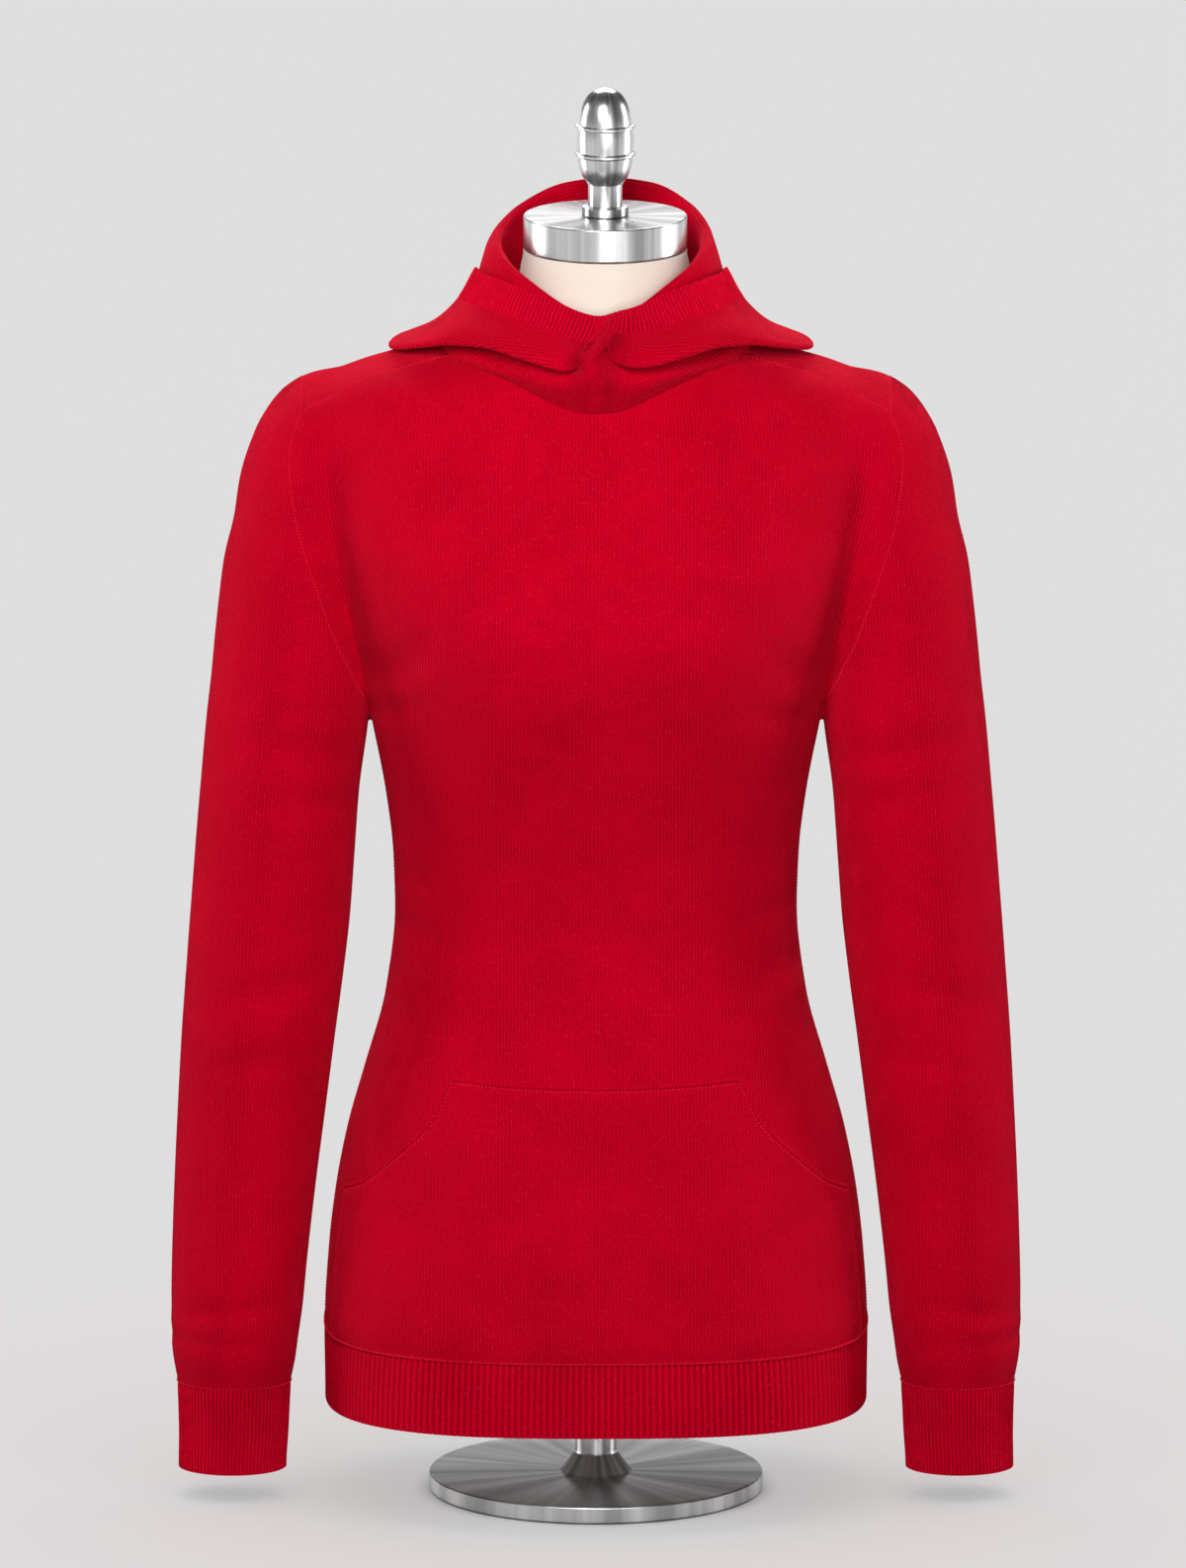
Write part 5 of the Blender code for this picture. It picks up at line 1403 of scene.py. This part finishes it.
def hood_grid(azimuth, part, count):
    """Rows at azimuths, each from the neck seam to the band, or across the band to its edge."""
    bends = hood_bends(azimuth)
    inner = through(bends, HOOD_SPANS)[:, :-1]
    outer = through(bends, [1] * len(HOOD_SPANS) + [OUTER_SPAN] * 3)[:, len(HOOD_SPANS) :]
    along = lengths(outer, 1)
    rows = []
    for curve, distance in zip(outer, along):
        band_start = distance[-1] - BAND_WIDTH
        ends = (0.0, band_start) if part == "body" else (band_start, distance[-1])
        places = np.linspace(*ends, count)
        rows.append(np.stack([np.interp(places, distance, curve[:, k]) for k in (0, 1)], axis=-1))
    section = np.array(rows)
    shift = np.ones(section.shape[1])
    if part == "body":
        section = np.concatenate([inner, section], axis=1)
        spans = np.concatenate([k + np.arange(n) / n for k, n in enumerate(HOOD_SPANS)])
        spans = np.concatenate([spans, np.full(count, len(HOOD_SPANS))])
        shift = np.clip((spans - SHIFT_FROM) / SHIFT_OVER, 0.0, 1.0)
    radius, height = section[..., 0], section[..., 1]
    turn = np.radians(azimuth)[:, None]
    lean = HOOD_AXIS_X * shift + HOOD_TOP_LEAN * np.maximum(0.0, height - HOOD_TOP)
    place = np.stack([lean + radius * np.sin(turn), -radius * np.cos(turn), height], axis=-1)
    return pinched(place)


steps = round(180 / HOOD_STEP_DEG)
crest = sum(HOOD_SPANS[:4])
hoods = {}
for name, x_sign in (("left", -1), ("right", 1)):
    azimuth = x_sign * np.linspace(0.0, 180.0, steps + 1)
    flat = eased(hood_grid(azimuth, "body", HOOD_OUTER_ROWS), HOOD_EASING)
    across = lengths(flat, 1)
    uv = np.stack([across - across[:, crest : crest + 1], lengths(flat, 0)], axis=-1)
    hoods[name] = flat, normals(flat) * -x_sign
    piece = grid_piece(f"hood_{name}_knit", flat, uv, flip=x_sign > 0)
    dress(walled(piece, offset=0.0, even=False), knit, "cashmere_knit", f"hood_{name}")

# ---------------------------------------------------------------- hood band
# A band of fine 1x1 rib is knitted on along the hood's edge, in one piece, its ribs square to
# the edge.
BAND_ROWS = 9
BAND_RIB_PITCH = 0.0025
BAND_RIB_DEPTH = 0.00075
BAND_RIB_SAMPLES = 6
BAND_SAMPLES = 721
trial = np.linspace(-180.0, 180.0, BAND_SAMPLES)
along = lengths(hood_grid(trial, "band", 3)[None, :, 1], 1)[0]
band_ribs = round(along[-1] / BAND_RIB_PITCH)
even = np.linspace(0, along[-1], band_ribs * BAND_RIB_SAMPLES + 1)
flat = hood_grid(np.interp(even, along, trial), "band", BAND_ROWS)
flat[-1] = flat[0]
outward, up = -normals(flat), lengths(flat, 1)
outward[0] = outward[-1] = unit(outward[0] + outward[-1])
across = np.linspace(0, band_ribs * BAND_RIB_PITCH, len(flat))[:, None]
band_sizes = {**cuff_sizes, "Pitch": BAND_RIB_PITCH, "Depth": BAND_RIB_DEPTH, "Join Draw": 0.0}
band = rib_piece("hood_band_knit", flat, outward, across, up, up, True, band_sizes)
dress(walled(band, offset=0.0, even=False), fine_rib, "cashmere_rib", "hood_band")

# ---------------------------------------------------------------- linking stitches
# The pieces are linked with the same yarn.  Each seam shows as a row of small slanted stitches
# that stand a little over the cloth.  One set of geometry nodes makes all the rows.
STITCH_LIFT = 0.00018
STITCH_TURN = 0.16  # radians that a stitch may lie askew
STITCH_PLUMP = 0.15  # share that it may be thicker or thinner
YARN_FUZZ_MM = 0.7143  # the yarn's own tufts
YARN_DEPTH = 0.0002
# painted light on the yarn's raised fuzz, and painted shade in its low places
YARN_RED_LIT = "#F42244"
YARN_RED_SHADED = "#C4001C"
Stitch = namedtuple("Stitch", "spacing length width slant")
STITCHES = {
    "armhole": Stitch(0.0021, 0.0019, 0.0009, 35),
    "cuff_join": Stitch(0.00125, 0.0010, 0.0006, 90),
    "shoulder_seam": Stitch(0.0026, 0.0019, 0.0009, 0),
    "side_seam": Stitch(0.0020, 0.0015, 0.0006, 25),
    "pocket_side": Stitch(0.0019, 0.0017, 0.0007, 90),
    "band_join": Stitch(0.0025, 0.0014, 0.0006, 0),
    "neck_seam": Stitch(0.0022, 0.0018, 0.0007, 90),
    "hem_join": Stitch(HEM_RIB_PITCH / 2, 0.0016, 0.0008, 90),
    "pocket_top_stitches": Stitch(0.0024, 0.0018, 0.0011, 0),
    "pocket_hem_join": Stitch(HEM_RIB_PITCH / 2, 0.0017, 0.0011, 90),
    "hood_back_seam": Stitch(0.0021, 0.0016, 0.0006, 35),
}
POCKET_TOP_ROW = -7  # the row of the pocket's mesh just inside its rolled edge
HEM_JOIN_SAMPLES = 241
CUFF_JOIN_SAMPLES = 181


def linking_nodes():
    """Rows of stitches along a path, whose points carry the cloth's outward direction."""
    sizes = {name: "Float" for name in ("Spacing", "Length", "Width", "Lift", "Slant")}
    takes = {"Path": "Geometry", **sizes, "Seed": "Int", "Yarn": "Material"}
    tree, given = new_group("linking stitches", takes, "Stitches")
    curve = add_node(tree, "GeometryNodeMeshToCurve", {"Mesh": given["Path"]}, "Curve")
    steps = {"Curve": curve, "Length": given["Spacing"]}
    even = add_node(tree, "GeometryNodeResampleCurve", steps, "Curve", mode="LENGTH")
    kind = "GeometryNodeInputNamedAttribute"
    out = add_node(tree, kind, {"Name": "outward"}, "Attribute", data_type="FLOAT_VECTOR")

    # Each stitch stands on the cloth and runs along the seam, slanted and a little askew.
    tangent = add_node(tree, "GeometryNodeInputTangent", out="Tangent")
    axes = {"Primary Axis": out, "Secondary Axis": tangent}
    kind = "FunctionNodeAxesToRotation"
    facing = add_node(tree, kind, axes, "Rotation", primary_axis="Z", secondary_axis="X")
    bounds = {2: -STITCH_TURN, 3: STITCH_TURN, "Seed": given["Seed"]}
    askew = add_node(tree, "FunctionNodeRandomValue", bounds, 1, data_type="FLOAT")
    both = {0: askew, 1: given["Slant"]}
    slant = add_node(tree, "ShaderNodeMath", both, 0, operation="ADD")
    lean = add_node(tree, "ShaderNodeCombineXYZ", {"Z": slant}, "Vector")
    lean = add_node(tree, "FunctionNodeEulerToRotation", {"Euler": lean}, "Rotation")
    both = {"Rotation": facing, "Rotate By": lean}
    kind = "FunctionNodeRotateRotation"
    facing = add_node(tree, kind, both, "Rotation", rotation_space="LOCAL")

    # It is a plump little loop.
    size = {"X": given["Length"], "Y": given["Width"], "Z": given["Width"]}
    size = add_node(tree, "ShaderNodeCombineXYZ", size, "Vector")
    bounds = {2: 1 - STITCH_PLUMP, 3: 1 + STITCH_PLUMP, "Seed": given["Seed"]}
    plump = add_node(tree, "FunctionNodeRandomValue", bounds, 1, data_type="FLOAT")
    size = {0: size, "Scale": plump}
    size = add_node(tree, "ShaderNodeVectorMath", size, "Vector", operation="SCALE")
    ball = {"Segments": 8, "Rings": 5, "Radius": 0.5}
    ball = add_node(tree, "GeometryNodeMeshUVSphere", ball, "Mesh")
    smooth = {"Geometry": ball, "Shade Smooth": True}
    smooth = add_node(tree, "GeometryNodeSetShadeSmooth", smooth, "Geometry")
    placed = {"Points": even, "Instance": smooth, "Rotation": facing, "Scale": size}
    placed = add_node(tree, "GeometryNodeInstanceOnPoints", placed, "Instances")
    lift = {0: out, "Scale": given["Lift"]}
    lift = add_node(tree, "ShaderNodeVectorMath", lift, "Vector", operation="SCALE")
    lifted = {"Instances": placed, "Translation": lift, "Local Space": False}
    lifted = add_node(tree, "GeometryNodeTranslateInstances", lifted, "Instances")
    solid = add_node(tree, "GeometryNodeRealizeInstances", {"Geometry": lifted}, "Geometry")
    finish = {"Geometry": solid, "Material": given["Yarn"]}
    finish = add_node(tree, "GeometryNodeSetMaterial", finish, "Geometry")
    add_node(tree, "NodeGroupOutput", {"Stitches": finish})
    return tree


def linking_yarn():
    """The linking yarn: the knit's red, lighter where its fuzz stands up and darker where it lies
    low, as painted light and shade that follow its relief.
    """
    material, tree, shader = new_material("red cashmere linking yarn")
    place = add_node(tree, "ShaderNodeTexCoord", out="Object")
    fine = {"Vector": place, "Scale": 1000 / YARN_FUZZ_MM, "Detail": 2.0}
    fuzz = add_node(tree, "ShaderNodeTexNoise", fine, "Fac")
    # Painted light and shade: the colour follows the same fuzz as the relief.
    reds = {0: fuzz, 6: linear(YARN_RED_SHADED), 7: linear(YARN_RED_LIT)}
    relief = {"Height": fuzz, "Strength": 0.8, "Distance": YARN_DEPTH}
    finish = {
        "Base Color": add_node(tree, "ShaderNodeMix", reds, 2, data_type="RGBA"),
        "Normal": add_node(tree, "ShaderNodeBump", relief, "Normal"),
        "Roughness": 0.95,
        "Specular IOR Level": 0.10,
        "Specular Tint": linear(GLOSS_RED),
        "Sheen Weight": 0.35,
        "Sheen Roughness": 0.4,
        "Sheen Tint": linear(SHEEN_RED),
    }
    set_inputs(tree, shader, finish)
    return material


def stitched(name, stitch, points, outward, seed):
    """Makes one row of stitches as a piece of its own."""
    mesh = bpy.data.meshes.new(name)
    mesh.from_pydata(points.tolist(), [(k, k + 1) for k in range(len(points) - 1)], [])
    layer = mesh.attributes.new("outward", "FLOAT_VECTOR", "POINT")
    layer.data.foreach_set("vector", unit(outward).ravel().astype(np.float32))
    obj = bpy.data.objects.new(name, mesh)
    scene.collection.objects.link(obj)
    values = {
        "Spacing": stitch.spacing,
        "Length": stitch.length,
        "Width": stitch.width,
        "Lift": STITCH_LIFT,
        "Slant": math.radians(stitch.slant),
        "Seed": seed,
        "Yarn": yarn,
    }
    made_by(linking, obj, values)
    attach(obj, "root")


# Rows as name, kind, points and outward directions: first the seams that each side has.
rows = []
side_rows = round((ARMPIT - HEM_TOP) / ROW_STEP)
neck_columns = PANEL_COLUMNS // 2  # on each side of a panel's middle column
ring = level_rings(np.array([CUFF_TOP]), np.linspace(0, 2 * math.pi, CUFF_JOIN_SAMPLES))[0]
ring_out = (ring - arm_middle(CUFF_TOP)) * (1, 1, 0)
for side, x_sign, column in (("left", -1, 0), ("right", 1, -1)):
    sign = np.array([x_sign, 1.0, 1.0])
    for part, edge in (("front", 0), ("back", -1)):
        seam, out = (grid[open_row:, edge] * sign for grid in (sleeve_shape, sleeve_normals))
        rows.append((f"armhole_{part}_{side}", "armhole", seam, out))
    rows.append((f"cuff_join_{side}", "cuff_join", ring * sign, ring_out * sign))
    seam, out = (grid[-1, PANEL_COLUMNS + neck_columns :] * sign for grid in panels["front"])
    rows.append((f"shoulder_seam_{side}", "shoulder_seam", seam, out))
    seam = panels["front"][0][:side_rows, -1] * sign
    out = np.broadcast_to(sign * (1, 0, 0), seam.shape)
    rows.append((f"side_seam_{side}", "side_seam", seam, out))
    below_top = slice(0, POCKET_TOP_ROW + 1)
    seam, out = (grid[below_top, column] for grid in (pocket_shape, pocket_outward))
    rows.append((f"pocket_side_{side}", "pocket_side", seam, out))
    seam, out = (grid[:, -1] for grid in hoods[side])
    rows.append((f"band_join_{side}", "band_join", seam, out))

# Then the seams that cross the middle.
neck = slice(PANEL_COLUMNS - neck_columns, PANEL_COLUMNS + neck_columns + 1)
for part, grids in panels.items():
    rows.append((f"neck_seam_{part}", "neck_seam", *(grid[-1, neck] for grid in grids)))
for part, side in (("front", -1), ("back", 1)):
    seam = level_line(HEM_TOP, side, HEM_JOIN_SAMPLES)
    rows.append((f"hem_join_{part}", "hem_join", seam, seam * (1, 1, 0)))
for kind, row in (("pocket_top_stitches", POCKET_TOP_ROW), ("pocket_hem_join", 0)):
    rows.append((kind, kind, pocket_shape[row], pocket_outward[row]))
rows.append(("hood_back_seam", "hood_back_seam", *(grid[-1] for grid in hoods["left"])))
linking, yarn = linking_nodes(), linking_yarn()
for seed, (name, kind, seam, out) in enumerate(rows):
    stitched(name, STITCHES[kind], seam, out, seed)

# ---------------------------------------------------------------- studio
# Only for the picture: a pale floor under its own even light, and soft boxes round the piece
# that light only the piece, so that the floor stays one plain grey.
PHOTO_HEIGHT_PX = 1586
MM_PER_PX = 0.59
CAMERA_DISTANCE = 20.0
CAMERA_ELEVATION = 12.0
SENSOR = 36.0
LOOK_AT = (-0.00177, 0.0, 0.4301)
FLOOR_HALF = 60.0
FLOOR_Z = -0.0005
FLOOR_GREY = "#DCDCDC"
AIR_GREY = "#E6E6E8"
AIR_STRENGTH = 0.13
FLOOR_LIGHT = 2.90
FLOOR_LIGHT_SPREAD = 110  # degrees, so wide that the stand's shadow is only a soft patch

floor_mesh = bpy.data.meshes.new("studio_floor")
turns = ((-1, -1), (1, -1), (1, 1), (-1, 1))
corners = [(x * FLOOR_HALF, y * FLOOR_HALF, FLOOR_Z) for x, y in turns]
floor_mesh.from_pydata(corners, [], [(0, 1, 2, 3)])
floor = bpy.data.objects.new("studio_floor", floor_mesh)
scene.collection.objects.link(floor)
paper, tree, shader = new_material("studio floor, matt pale paper")
finish = {"Base Color": linear(FLOOR_GREY), "Roughness": 1.0, "Specular IOR Level": 0.0}
set_inputs(tree, shader, finish)
floor_mesh.materials.append(paper)
floor.visible_diffuse = False

world = bpy.data.worlds.new("studio air")
world.use_nodes = True
scene.world = world
air = {"Color": linear(AIR_GREY), "Strength": AIR_STRENGTH}
set_inputs(world.node_tree, world.node_tree.nodes["Background"], air)
scene.view_settings.view_transform = "Standard"

only_floor = bpy.data.collections.new("lit by the floor light")
only_floor.objects.link(floor)
only_stand = bpy.data.collections.new("shades the floor")
only_stand.objects.link(stand)
all_but_floor = bpy.data.collections.new("lit by the soft boxes")
all_but_floor.objects.link(floor)
all_but_floor.collection_objects[0].light_linking.link_state = "EXCLUDE"
only_metal = bpy.data.collections.new("lit by the pale card")
for piece in (stand, cap, finial):
    only_metal.objects.link(piece)

above = bpy.data.lights.new("floor light", "SUN")
above.energy = FLOOR_LIGHT
above.angle = math.radians(FLOOR_LIGHT_SPREAD)
holder = bpy.data.objects.new("floor light", above)
holder.light_linking.receiver_collection = only_floor
holder.light_linking.blocker_collection = only_stand
scene.collection.objects.link(holder)

SoftBox = namedtuple("SoftBox", "name watts wide high azimuth elevation distance aim_z lit")
for box in (
    SoftBox("key", 30, 0.7, 0.9, -10, 32, 2.1, 0.52, all_but_floor),
    SoftBox("fill", 18, 0.6, 1.0, 8, 12, 2.2, 0.42, all_but_floor),
    SoftBox("left strip", 13, 0.3, 1.5, -104, 8, 1.5, 0.42, all_but_floor),
    SoftBox("right strip", 13, 0.3, 1.5, 104, 8, 1.5, 0.42, all_but_floor),
    SoftBox("behind", 27, 1.2, 1.0, 180, 48, 2.0, 0.45, all_but_floor),
    SoftBox("pale card", 3.2, 2.2, 0.7, 180, 9, 2.2, 0.45, only_metal),
):
    lamp = bpy.data.lights.new(box.name, "AREA")
    lamp.shape = "RECTANGLE"
    lamp.size, lamp.size_y = box.wide, box.high
    lamp.energy = box.watts
    holder = bpy.data.objects.new(box.name, lamp)
    turn, rise = math.radians(box.azimuth), math.radians(box.elevation)
    holder.location = (
        box.distance * math.cos(rise) * math.sin(turn),
        -box.distance * math.cos(rise) * math.cos(turn),
        box.aim_z + box.distance * math.sin(rise),
    )
    holder.rotation_euler = (math.pi / 2 - rise, 0.0, turn)
    holder.light_linking.receiver_collection = box.lit
    scene.collection.objects.link(holder)

lens = bpy.data.cameras.new("camera")
lens.sensor_width = SENSOR
lens.lens = SENSOR * CAMERA_DISTANCE / (PHOTO_HEIGHT_PX * MM_PER_PX / 1000)
lens.clip_end = 200.0
camera = bpy.data.objects.new("camera", lens)
tilt = math.radians(CAMERA_ELEVATION)
camera.location = (
    LOOK_AT[0],
    LOOK_AT[1] - CAMERA_DISTANCE * math.cos(tilt),
    LOOK_AT[2] + CAMERA_DISTANCE * math.sin(tilt),
)
camera.rotation_euler = (math.pi / 2 - tilt, 0.0, 0.0)
scene.collection.objects.link(camera)
scene.camera = camera
